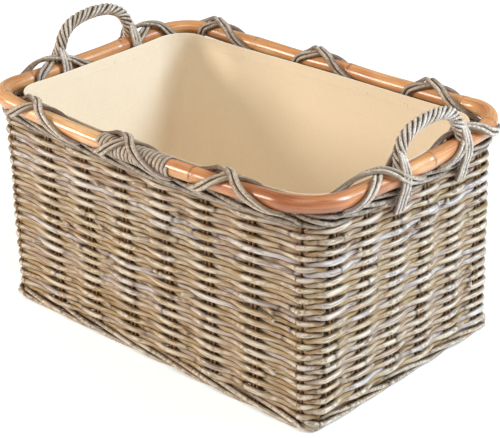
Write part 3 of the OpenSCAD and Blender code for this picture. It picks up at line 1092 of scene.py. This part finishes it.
@dataclass
class CutEnds:
    """Short cut ends of canes that show where a weaver begins or stops."""

    plan: StakePlan
    count: int = 46
    radius: float = 2.9
    samples: int = 6
    seed: int = 23

    def build(self, finishes: Finishes) -> bpy.types.Object:
        """Makes the ends: each comes out beside a group of stakes and lies along the wall.

        Args:
            finishes: The materials.

        Returns:
            The piece.
        """
        rng = np.random.default_rng(self.seed)
        groups = rng.choice(self.plan.groups(), self.count)
        height = rng.uniform(28, 276, self.count)
        heading = rng.choice([-1.0, 1.0], self.count)
        t = np.linspace(0, 1, self.samples)[None, :]
        turn = groups[:, None] + heading[:, None] * (0.045 + 0.032 * t)
        out = 3.0 + (6.6 + rng.uniform(0, 1.4, (self.count, 1))) * t
        paths = WALL.point(turn, height[:, None] + rng.uniform(-2, 2, (self.count, 1)) * t, out)
        skin = Skin()
        radius = self.radius * rng.uniform(0.8, 1.05, (self.count, 1))
        tint = np.repeat(rng.uniform(0, 1, (self.count, 1)), self.samples, 1)
        skin.tubes(paths, UP, radius, 1.0, 8, ends=0.12, tint=tint, wash=0.7 * t.repeat(self.count, 0))
        for side, sign in ((1.39, 1.0), (3.61, 1.0), (5.39, -1.0), (7.61, -1.0)):
            knots = np.array([[-0.30, 6.6, 0.0], [-0.10, 6.0, 5.0], [0.10, 5.2, 8.0], [0.18, 4.8, 9.5]])
            for shift in (0.0, 0.16):
                line = smooth_through(knots, 4)
                path = WALL.point(side + sign * (line[:, 0] + shift), line[:, 1] + 3 * shift * 6, line[:, 2])
                skin.tubes(path[None], UP, 3.2, 1.0, 10, ends=0.3, tint=np.full((1, len(path)), 0.55),
                           wash=np.full((1, len(path)), 0.7), deep=np.full((1, len(path)), 0.2))
        return skin.build("cut_ends", finishes.border, Body.BASKET)


@dataclass
class WovenBase:
    """The woven underside: long sticks, and canes that go over and under them.

    Attributes:
        middle_z: Height of the sticks' middle.
        length: Length inside the walls.
        width: Width inside the walls.
        sticks: Number of sticks.
        pitch: Spacing of the canes across the sticks.
    """

    middle_z: float = 13.0
    length: float = 560.0
    width: float = 350.0
    sticks: int = 7
    pitch: float = 7.6

    def build(self, finishes: Finishes) -> bpy.types.Object:
        """Makes the base.

        Args:
            finishes: The materials.

        Returns:
            The piece.
        """
        rng = np.random.default_rng(17)
        skin = Skin()
        spacing = self.width / (self.sticks + 1)
        y = (np.arange(self.sticks) - (self.sticks - 1) / 2)[:, None] * spacing
        x = np.linspace(-self.length / 2, self.length / 2, 24)[None, :]
        rods = np.stack(np.broadcast_arrays(x, y, self.middle_z), -1)
        shape = rods.shape[:2]
        # The sticks carry an even painted shade.
        skin.tubes(rods, UP, 3.2, 1.0, 10, ends=0.1, tint=np.full(shape, 0.2), deep=np.full(shape, 0.3))
        rows = int(self.length / self.pitch) - 1
        place = ((np.arange(rows) - (rows - 1) / 2) * self.pitch)[:, None]
        t = np.linspace(-1, 1, 90)[None, :]
        y = t * self.width / 2
        over = np.cos(np.pi * (y / spacing - np.arange(rows)[:, None]))
        z = self.middle_z + 4.9 * np.sign(over) * np.abs(over) ** 0.8
        paths = np.stack(np.broadcast_arrays(place + 0.5 * waver(rng, rows, t / 2, (1, 2)), y, z), -1)
        tint = np.clip(rng.beta(1.6, 1.6, (rows, 1)) + 0.1 * waver(rng, rows, t / 2, (2, 5)), 0, 1)
        # Parts under the sticks are paler; parts over them carry painted shade.
        skin.tubes(paths, UP, 1.9, 1.95, 8, ends=0.1, tint=tint, wash=np.clip(-over, 0, 1) * 0.5,
                   deep=0.35 * np.clip(over, 0, 1))
        return skin.build("woven_base", finishes.weave, Body.BASKET)


@dataclass
class RimPole:
    """The thick bent cane of the rim, with growth rings and a slight unevenness."""

    rail: Rail
    radius: float = POLE_R
    samples: int = 900

    def build(self, finishes: Finishes) -> bpy.types.Object:
        """Makes the pole. Its radius swells by a narrow bell curve at each growth ring.

        Args:
            finishes: The materials.

        Returns:
            The piece.
        """
        rng = np.random.default_rng(8)
        distance = np.linspace(0, self.rail.length, self.samples, endpoint=False)
        share = distance[None] / self.rail.length
        length = self.rail.length
        spots = ((Side.FRONT, 112), (Side.FRONT, -262), (Side.RIGHT, 20), (Side.BACK, 230), (Side.BACK, 30),
                 (Side.BACK, -150), (Side.LEFT, 60), (Side.LEFT, -110), (Side.RIGHT, 150))
        swell, mark = np.zeros(self.samples), np.zeros(self.samples)
        for side, spot in spots:
            gap = np.abs(np.mod(distance - self.rail.place(side, spot) + length / 2, length) - length / 2)
            swell += 0.65 * bell(gap, 5.0) - 0.5 * bell(gap, 1.4)
            mark += bell(gap, 1.5)
        wobble = waver(rng, 2, share[0], (5, 9, 14))
        path = self.rail.beside(distance, 0.8 * wobble[0], 0.6 * wobble[1])
        radius = self.radius + swell + 0.25 * waver(rng, 1, share[0], (7, 12))[0]
        skin = Skin()
        corner = np.abs(distance - self.rail.place(Side.RIGHT, -150))
        paleness = 0.60 - 0.34 * bell(corner, 190)[None]
        ring = ring_angles(28)
        # Painted shade on the pole's underside.
        skin.tubes(path[None], UP, radius[None], 1.0, 28, True, mark=mark[None], tint=paleness,
                   deep=0.35 * np.clip(-np.cos(ring) - 0.2, 0, 1)[None, None])
        return skin.build("rim_pole_bent", finishes.pole, Body.BASKET)


@dataclass
class SpliceBinding:
    """Flat cane wound round the pole's joint.

    Attributes:
        start: X where it begins.
        stop: X where it ends.
        turns: Number of turns.
    """

    rail: Rail
    start: float = -52.0
    stop: float = 74.0
    turns: int = 18

    def build(self, finishes: Finishes) -> bpy.types.Object:
        """Makes the binding: a helix of half-round cane.

        Args:
            finishes: The materials.

        Returns:
            The piece.
        """
        rng = np.random.default_rng(2)
        count = self.turns * 22
        t = np.linspace(0, 1, count)
        first, last = self.rail.place(Side.FRONT, self.start), self.rail.place(Side.FRONT, self.stop)
        first = first - self.rail.length if first > last else first
        distance = first + (last - first) * t
        angle = FULL_TURN * self.turns * t + 0.4
        hold = POLE_R + 1.0 + 0.25 * waver(rng, 1, t, (9, 15))[0]
        path = self.rail.beside(distance, hold * np.cos(angle), hold * np.sin(angle))
        centre = self.rail.beside(distance, 0 * t, 0 * t)
        width = (last - first) / self.turns / 2 * 0.97
        tint = 0.5 + 0.3 * waver(rng, 1, t, (5, 9, 15))
        ring = ring_angles(10)
        skin = Skin()
        # Pale grey-washed colour with painted highlight on the outer face, and painted shade where the turns
        # touch.
        skin.tubes(path[None], (path - centre)[None], 1.5, width / 1.5, 10, ends=0.2, tint=tint,
                   wash=wash_and_highlight_face(ring, 0.6), deep=painted_crevice_shade(ring, 0.9))
        return skin.build("binding", finishes.binding, Body.BASKET)


@dataclass
class Lashing:
    """Doubled canes stitched round the rim.

    A stitch starts under the rim outside, climbs over the pole at one crossing, runs along the inside,
    climbs over the pole again at the next crossing on top of the stitch that is there, and goes under.

    Attributes:
        rail: The rim's middle line.
        cane_r: Radius of a cane.
        reach_in: Length of rim from where a stitch comes up outside to its first crossing's top.
        reach_out: Length of rim from its second crossing's top to where it goes under.
    """

    rail: Rail
    cane_r: float = 3.1
    reach_in: float = 62.0
    reach_out: float = 84.0

    def crossings(self) -> list[float]:
        """Distances of the crossings, in order round the rim."""
        places = {Side.FRONT: (-187, -4, 173), Side.RIGHT: (-77, 97), Side.BACK: (175, -27, -225),
                  Side.LEFT: (116, -71)}
        found = [self.rail.place(side, place) for side, spots in places.items() for place in spots]
        return sorted(found)

    def build(self, finishes: Finishes) -> dict[Side, bpy.types.Object]:
        """Makes the stitches as one piece for each side of the rim.

        Args:
            finishes: The materials.

        Returns:
            The pieces by side.
        """
        rng = np.random.default_rng(31)
        spots = self.crossings()
        skins = {side: Skin() for side in Side}
        for index, start in enumerate(spots):
            stop = spots[(index + 1) % len(spots)]
            stop = stop + self.rail.length if stop < start else stop
            nearest = int(np.searchsorted(self.rail.distance, np.mod(start, self.rail.length)))
            side = self._side(self.rail.line[nearest % len(self.rail.line)])
            # Front stitches get less pale grey-washed colour and painted highlight than the rest.
            under, pale = (198.0, 0.6) if side is Side.FRONT else (230.0, 0.95)
            self._stitch(skins[side], rng, start, stop, under, pale)
        return {side: skin.build(f"{side.name.lower()}_stitches", finishes.lashing, Body.BASKET)
                for side, skin in skins.items()}

    @staticmethod
    def _side(at: Array) -> Side:
        """The side of the rim that a point is on."""
        if abs(at[1]) > 150 and abs(at[0]) < 262:
            return Side.BACK if at[1] > 0 else Side.FRONT
        return Side.RIGHT if at[0] > 0 else Side.LEFT

    def _stitch(self, skin: Skin, rng: np.random.Generator, start: float, stop: float, under: float,
                pale: float) -> None:
        """Adds the two canes of one stitch.

        Args:
            skin: The mesh that they go into.
            rng: Source of the unevenness.
            start: Distance of the first crossing.
            stop: Distance of the second.
            under: Angle of the inner run round the pole, from its outside over its top.
            pale: How much pale, grey-washed colour and painted highlight the canes have.
        """
        low, lift = POLE_R + self.cane_r + 0.3, 2 * self.cane_r
        first, last = self.reach_in * rng.uniform(0.94, 1.06), self.reach_out * rng.uniform(0.94, 1.06)
        run = (stop - start) / 2
        drop, climb = min(46.0, run * 0.5), min(78.0, run * 0.85)
        knots = np.array([
            [start - first, -74, low - 1.2], [start - 0.82 * first, -46, low + 0.2],
            [start - 0.5 * first, 2, low + 0.4], [start - 0.22 * first, 50, low], [start, 90, low],
            [start + 0.3 * drop, 122, low], [start + 0.65 * drop, 156, low],
            [start + drop, under - 12, low - 0.2],
            [(start + stop) / 2, under + rng.uniform(-4, 4), low - 0.3],
            [stop - climb, under - 6, low], [stop - 0.66 * climb, 0.45 * under + 76, low + 0.1 * lift],
            [stop - 0.33 * climb, 124, low + 0.7 * lift], [stop, 90, low + lift],
            [stop + 0.2 * last, 54, low + 0.8 * lift], [stop + 0.48 * last, 2, low + 0.6],
            [stop + 0.8 * last, -44, low + 0.2], [stop + last, -74, low - 1.2],
        ])
        line = smooth_through(knots, 9)
        distance, angle, hold = line[:, 0], np.radians(line[:, 1]), line[:, 2]
        centre = self.rail.beside(distance, 0 * angle, 0 * angle)
        middle = self.rail.beside(distance, hold * np.cos(angle), hold * np.sin(angle))
        outward = unit(middle - centre)
        across = unit(np.cross(unit(np.gradient(middle, axis=0)), outward))
        t, ring = np.linspace(0, 1, len(line)), ring_angles(10)
        for way in (-1.0, 1.0):
            spread = way * (self.cane_r + 0.25 + 0.25 * waver(rng, 1, t, (2, 3))[0])
            path = middle + across * spread[:, None] + outward * (0.25 * waver(rng, 1, t, (3, 5))[0])[:, None]
            tint = rng.uniform(0.1, 0.9) + 0.2 * waver(rng, 1, t, (2, 5))
            radius = self.cane_r * (1 + 0.05 * waver(rng, 1, t, (2, 4)))
            # Painted shade where the stitch runs along the inside of the rim, and between the two canes.
            inner_shade = 0.22 * np.clip(-np.cos(angle), 0, 1)[None, :, None]
            skin.tubes(path[None], outward[None], radius, 0.97, 10, ends=0.15, tint=np.clip(tint, 0, 1),
                       wash=wash_and_highlight_face(ring, pale), deep=inner_shade + painted_crevice_shade(ring, 0.5))


@dataclass
class Handle:
    """One roped handle: twisted canes in an arch, and the canes that tie its feet down.

    Attributes:
        rail: The rim's middle line.
        side: The end that it stands on.
        near: Y of the foot nearer the front.
        far: Y of the foot nearer the back.
        top: Height of the arch's middle line.
        strands: Canes in the rope.
        strand_r: Radius of one.
        lay: Length of one full twist.
    """

    rail: Rail
    side: Side
    near: float
    far: float
    top: float
    seed: int
    strands: int = 6
    strand_r: float = 2.95
    lay: float = 56.0

    def _arch(self, samples: int) -> Array:
        """The rope's middle line: up, over and down through knots, starting at the near foot.

        Args:
            samples: How many points to give.

        Returns:
            The points, evenly spaced.
        """
        middle, half, low = (self.near + self.far) / 2, (self.far - self.near) / 2, RIM_Z + 4.0
        sign = 1.0 if self.side is Side.RIGHT else -1.0
        rise = self.top - low
        shares = [(-1.0, 0.0), (-0.99, 0.30), (-0.90, 0.62), (-0.66, 0.88), (-0.30, 0.985), (0.10, 1.0),
                  (0.48, 0.93), (0.78, 0.74), (0.95, 0.42), (1.0, 0.18), (1.0, 0.0)]
        knots = [[0.0, middle + s * half, low + r * rise] for s, r in shares]
        line = smooth_through(np.array(knots), 24)
        out = abs(self.rail.frame(np.array([self.rail.place(self.side, middle)]))[0][0, 0])
        edge = (line[:, 1] - middle) / half
        low_share = np.clip(1 - (line[:, 2] - low) / 34.0, 0, 1)
        line[:, 0] = sign * (out - 1.2 * edge**2 + 7.5 * low_share**1.5)
        gaps = np.concatenate([[0], np.cumsum(np.linalg.norm(np.diff(line, axis=0), axis=1))])
        even = np.linspace(0, gaps[-1], samples)
        return np.stack([np.interp(even, gaps, line[:, k]) for k in range(3)], -1)

    def build(self, finishes: Finishes) -> tuple[bpy.types.Object, bpy.types.Object]:
        """Makes the rope and the ties.

        Each strand is a helix round the arch: the middle line plus the lay radius times the cosine and
        sine of an angle that grows along it.

        Args:
            finishes: The materials.

        Returns:
            The rope piece and the ties piece.
        """
        rng = np.random.default_rng(self.seed)
        line = self._arch(170)
        heading = unit(np.gradient(line, axis=0))
        sideways = np.broadcast_to([1.0, 0.0, 0.0], line.shape)
        inward = unit(np.cross(heading, sideways))
        sideways = np.cross(inward, heading)
        length = np.concatenate([[0], np.cumsum(np.linalg.norm(np.diff(line, axis=0), axis=1))])
        lay_r = self.strand_r / np.sin(np.pi / self.strands)
        start = FULL_TURN * np.arange(self.strands)[:, None] / self.strands
        angle = start - FULL_TURN * length[None] / self.lay
        angle = angle + 0.12 * waver(rng, self.strands, length[None] / length[-1], (3, 5))
        paths = line + lay_r * (np.cos(angle)[..., None] * sideways + np.sin(angle)[..., None] * inward)
        t = length[None] / length[-1]
        tint = cane_tint(rng, self.strands, t, (3, 7))
        ring = ring_angles(10)
        skin = Skin()
        radius = self.strand_r * (1 + 0.06 * waver(rng, self.strands, t, (4, 9)))
        # Pale grey-washed colour with painted highlight on the strands' outer faces, and painted shade where
        # they touch.
        skin.tubes(paths, paths - line, radius, 0.86, 10, ends=0.15, tint=tint, wash=wash_and_highlight_face(ring, 0.9),
                   deep=painted_crevice_shade(ring, 0.75))
        core = line[None, 2:-2]
        # The core inside the rope is darkened with painted shade.
        skin.tubes(core, np.array([1.0, 0.0, 0.0]), lay_r * 0.75, 1.0, 8, ends=0.1,
                   tint=np.full(core.shape[:2], 0.2), deep=np.full(core.shape[:2], 0.6))
        end = self.side.name.lower()
        rope = skin.build(f"{end}_handle_roped", finishes.handle, Body.BASKET)
        return rope, self._ties(rng, finishes, end)

    def _ties(self, rng: np.random.Generator, finishes: Finishes, end: str) -> bpy.types.Object:
        """Makes the canes that go from each foot over the pole and down, outside and inside.

        Args:
            rng: Source of the unevenness.
            finishes: The materials.
            end: Name of the end that the handle is on.

        Returns:
            The piece.
        """
        skin, ring = Skin(), ring_angles(10)
        for foot in (self.near, self.far):
            at = self.rail.place(self.side, foot)
            for outside in (True, False):
                for index in (-1.0, 0.0, 1.0):
                    fan = index * 6.0
                    turn = rng.uniform(-1.5, 1.5)
                    if outside:
                        knots = [[fan * 0.35, 3.0, 34.0], [fan * 0.6, 8.0, 24.0], [fan * 0.85, 12.5, 12.0],
                                 [fan, 14.2, 0.0], [fan * 1.05, 12.8, -12.0], [fan * 1.1 + turn, 8.6, -24.0],
                                 [fan * 1.15 + turn, 5.4, -36.0], [fan * 1.2 + turn, 1.5, -47.0]]
                    else:
                        knots = [[fan * 0.4, -3.0, 33.0], [fan * 0.6, -8.0, 23.0], [fan * 0.9, -12.4, 12.0],
                                 [fan, -14.0, 0.0], [fan, -13.0, -10.0], [fan, -10.5, -20.0]]
                    line = smooth_through(np.array(knots), 6)
                    path = self.rail.beside(at + line[:, 0], line[:, 1], line[:, 2])
                    t = np.linspace(0, 1, len(path))
                    tint = np.clip(rng.uniform(0.1, 0.9) + 0.2 * waver(rng, 1, t, (2, 3)), 0, 1)
                    outward = path - self.rail.beside(at + line[:, 0], -3.0 + 0 * t, -30.0 + 0 * t)
                    radius = 2.85 * (1 + 0.05 * waver(rng, 1, t, (1, 2)))
                    # Pale grey-washed colour with painted highlight on the ties' outer faces, and painted
                    # shade where they touch.
                    skin.tubes(path[None], outward[None], radius, 1.0, 10, ends=0.15, tint=tint,
                               wash=wash_and_highlight_face(ring, 0.85), deep=painted_crevice_shade(ring, 0.55))
        return skin.build(f"{end}_handle_ties_bent", finishes.handle, Body.BASKET)


@dataclass
class Liner:
    """The canvas liner: one strip round the four sides with a turned edge, and a floor.

    Attributes:
        thick: Thickness of the doubled edge.
        single: Thickness below it.
        hem: Depth of the turned edge.
    """

    thick: float = 1.6
    single: float = 1.5
    hem: float = 16.0

    def build(self, finishes: Finishes) -> tuple[bpy.types.Object, bpy.types.Object]:
        """Makes the sides and the floor.

        The sides are a closed profile, down the outside and up the inside with a rounded top, carried
        round the rounded rectangle. Soft swells of a few waves push the cloth in and out below the edge.

        Args:
            finishes: The materials.

        Returns:
            The sides and the floor.
        """
        turn = np.unique(np.round(np.concatenate([np.linspace(0, 8, 321)[:-1],
                                                  *(np.linspace(k, k + 1, 26) for k in CORNERS)]), 5))
        turn = turn[turn < 8][:, None]
        z0, z1 = LINER.foot_z, LINER.top_z
        edge = [z1 - self.hem, z1 - self.hem / 2, z1 - 2.2]
        levels = np.concatenate([np.linspace(z0, z1 - self.hem - 1.5, 40), edge])
        width = np.where(levels >= z1 - self.hem - 0.1, self.thick, self.single)
        lip = np.linspace(0, np.pi, 9)[1:-1]
        out = np.concatenate([width / 2, self.thick / 2 * np.cos(lip), -width[::-1] / 2])
        height = np.concatenate([levels, z1 - 2.2 + 1.6 * np.sin(lip), levels[::-1]])
        share = turn / 8
        depth = np.clip((z1 - height) / 120, 0, 1)[None, :] * np.clip((height - z0) / 60, 0, 1)[None, :]
        swell = (1.5 * np.sin(FULL_TURN * (3 * share + height[None] / 520 + 0.1))
                 + 1.1 * np.sin(FULL_TURN * (7 * share - height[None] / 340))
                 + 0.6 * np.sin(FULL_TURN * (16 * share + height[None] / 210)))
        points = LINER.point(turn, height[None], out[None] - 1.4 * depth + depth * swell * 0.8)
        points = points[None]
        steps = np.linalg.norm(np.roll(points, -1, 1) - points, axis=-1)[:, :, 0]
        along = np.concatenate([np.zeros((1, 1)), np.cumsum(steps, 1)], 1) * MM
        up = np.concatenate([[0], np.cumsum(np.hypot(np.diff(out), np.diff(height)))])
        across = np.broadcast_to(np.append(up, up[-1] + self.single) * MM, (1, len(turn) + 1, len(out) + 1))
        skin = Skin()
        skin.surface(points[:, :, ::-1], along, across[..., ::-1], True, False, {})
        sides = skin.build("liner_sides", finishes.cloth, Body.LINER)
        return sides, self._floor(finishes)

    def _floor(self, finishes: Finishes) -> bpy.types.Object:
        """Makes the floor: rings of the sides' outline drawn in to a middle stretch, top and underside.

        Args:
            finishes: The materials.

        Returns:
            The piece.
        """
        count, half = 240, 34
        turn = np.linspace(0, 8, count, endpoint=False)
        edge = LINER.point(turn, LINER.foot_z, -0.7)[:, :2]
        spine = np.clip(edge[:, :1], -105, 105) * [1.0, 0.0]
        rings = np.concatenate([np.linspace(0.004, 0.985, half), [1.0, 1.0], np.linspace(0.985, 0.004, half)])
        flat = spine[None] + (edge - spine)[None] * rings[:, None, None]
        x, y = flat[..., 0], flat[..., 1]
        soft = 0.5 * np.sin(x / 61 + 0.8) * np.sin(y / 47) + 0.3 * np.sin(x / 23 + y / 31)
        level = np.concatenate([np.full(half, 1.5), [1.1, 0.4], np.zeros(half)])[:, None]
        height = LINER.foot_z + 0.9 + level + soft * np.clip(1 - rings, 0, 1)[:, None] ** 0.5
        points = np.concatenate([flat, height[..., None]], -1)[None]
        along = np.concatenate([rings * 0.17, [0.0]])[None]
        across = np.broadcast_to(np.linspace(0, 1.75, count + 1), (1, len(rings) + 1, count + 1))
        skin = Skin()
        skin.surface(points[:, ::-1], along[:, ::-1], across, False, True, {})
        made = skin.build("liner_floor_cloth", finishes.cloth, Body.LINER)
        layer = made.data.uv_layers["UVMap"]
        corner = np.zeros(len(made.data.loops), np.int32)
        made.data.loops.foreach_get("vertex_index", corner)
        place = np.zeros(len(made.data.vertices) * 3, np.float32)
        made.data.vertices.foreach_get("co", place)
        layer.data.foreach_set("uv", place.reshape(-1, 3)[corner, :2].ravel())
        return made


# --------------------------------------------------------------------------- studio


@dataclass(frozen=True)
class Softbox:
    """A square soft light that looks at the basket.

    Attributes:
        name: Its name.
        at: Its place, in metres.
        size: Its side, in metres.
        power: Its power, in watts.
        colour: Its colour.
    """

    name: str
    at: tuple[float, float, float]
    size: float
    power: float
    colour: Colour = (1.0, 1.0, 1.0)

    def build(self) -> None:
        """Makes the light."""
        data = bpy.data.lights.new(self.name, "AREA")
        data.shape, data.size, data.energy, data.color = "SQUARE", self.size, self.power, self.colour
        lamp = bpy.data.objects.new(self.name, data)
        bpy.context.scene.collection.objects.link(lamp)
        lamp.location = self.at
        lamp.rotation_mode = "QUATERNION"
        lamp.rotation_quaternion = (Vector((0, 0, 0.15)) - Vector(self.at)).to_track_quat("-Z", "Y")


@dataclass(frozen=True)
class Studio:
    """Camera, soft lights and pale floor.

    Attributes:
        place: The camera's place.
        azimuth: Degrees that the camera stands round from the front towards the right end.
        elevation: Degrees above the horizon.
        roll: Degrees that it is rolled.
        lens: Focal length for a 36 mm sensor.
    """

    place: tuple[float, float, float] = (1432.35, -1444.99, 1119.65)
    azimuth: float = 44.49
    elevation: float = 25.71
    roll: float = -2.05
    lens: float = 117.6

    def build(self, finishes: Finishes) -> None:
        """Makes the studio.

        Args:
            finishes: The materials.
        """
        a, e, r = np.radians([self.azimuth, self.elevation, self.roll])
        back = np.array([np.sin(a) * np.cos(e), -np.cos(a) * np.cos(e), np.sin(e)])
        level = np.array([np.cos(a), np.sin(a), 0.0])
        over = np.cross(back, level)
        right = level * np.cos(r) + over * np.sin(r)
        up = -level * np.sin(r) + over * np.cos(r)
        data = bpy.data.cameras.new("camera")
        data.lens, data.sensor_width, data.sensor_fit = self.lens, 36.0, "HORIZONTAL"
        camera = bpy.data.objects.new("camera", data)
        bpy.context.scene.collection.objects.link(camera)
        turned = Matrix((right, up, back)).transposed().to_4x4()
        camera.matrix_world = Matrix.Translation(Vector(self.place) * MM) @ turned
        bpy.context.scene.camera = camera
        Softbox("key", (1.95, 1.15, 1.75), 0.9, 76, (0.69, 0.86, 1.0)).build()
        Softbox("front_fill", (-1.9, -2.0, 1.15), 0.7, 50, (1.0, 0.94, 0.84)).build()
        Softbox("overhead", (0.9, -1.2, 2.6), 1.4, 19, (1.0, 0.94, 0.86)).build()
        world = bpy.data.worlds.new("studio")
        world.use_nodes = True
        world.node_tree.nodes["Background"].inputs["Color"].default_value = (1.0, 0.93, 0.82, 1.0)
        world.node_tree.nodes["Background"].inputs["Strength"].default_value = 0.42
        bpy.context.scene.world = world
        bpy.context.scene.view_settings.view_transform = "Standard"
        mesh = bpy.data.meshes.new("floor")
        mesh.from_pydata([(-9, -9, 0), (9, -9, 0), (9, 9, 0), (-9, 9, 0)], [], [(0, 1, 2, 3)])
        mesh.materials.append(finishes.floor)
        floor = bpy.data.objects.new("floor", mesh)
        bpy.context.scene.collection.objects.link(floor)


def main() -> None:
    """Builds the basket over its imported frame."""
    logging.basicConfig(level=logging.INFO, format="%(message)s")
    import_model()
    finishes = Finishes()
    Studio().build(finishes)
    plan = StakePlan()
    rail = Rail(RIM, RIM_Z)

    low, middle, high = WovenWall(plan).build(finishes)
    walls = ["front_weave", "back_weave", "left_weave", "right_weave", "front_right_corner_weave",
             "back_right_corner_weave", "back_left_corner_weave", "front_left_corner_weave"]
    for piece in (low, middle, high):
        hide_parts(*walls)
    stakes = Stakes(plan).build(finishes)
    upright = ["front_stakes", "back_stakes", "left_stakes", "right_stakes", "corner_stakes"]
    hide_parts(*upright)
    foot = TwistedBorder("foot_border_twisted", plan, middle_z=8.6, proud=1.8, strands=4, turns=7,
                         reach_out=5.6, reach_up=5.9, radius=3.0, least_z=3.05, backing=5.2)
    foot = foot.build(finishes.border)
    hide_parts("foot_border")
    band = TwistedBorder("top_band_twisted", plan, middle_z=283.4, proud=2.6, strands=5, turns=7,
                         reach_out=4.8, reach_up=8.0, radius=3.15, seed=9)
    band = band.build(finishes.band)
    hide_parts("top_band")
    ends = CutEnds(plan).build(finishes)
    base = WovenBase().build(finishes)
    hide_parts("base_weave", "base_sticks")

    pole = RimPole(rail).build(finishes)
    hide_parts("rim_pole")
    binding = SpliceBinding(rail).build(finishes)
    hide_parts("splice_binding")
    for side, piece in Lashing(rail).build(finishes).items():
        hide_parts(f"{side.name.lower()}_lashing")

    handles = (Handle(rail, Side.RIGHT, near=-40.0, far=82.0, top=364.5, seed=41),
               Handle(rail, Side.LEFT, near=-53.0, far=83.0, top=373.0, seed=43))
    for handle in handles:
        rope, ties = handle.build(finishes)
        end = handle.side.name.lower()
        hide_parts(f"{end}_handle_rope", f"{end}_handle_core")
        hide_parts(f"{end}_handle_ties")

    sides, floor = Liner().build(finishes)
    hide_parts("liner_front", "liner_back", "liner_left", "liner_right")
    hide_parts("liner_floor")


if __name__ == "__main__":
    main()
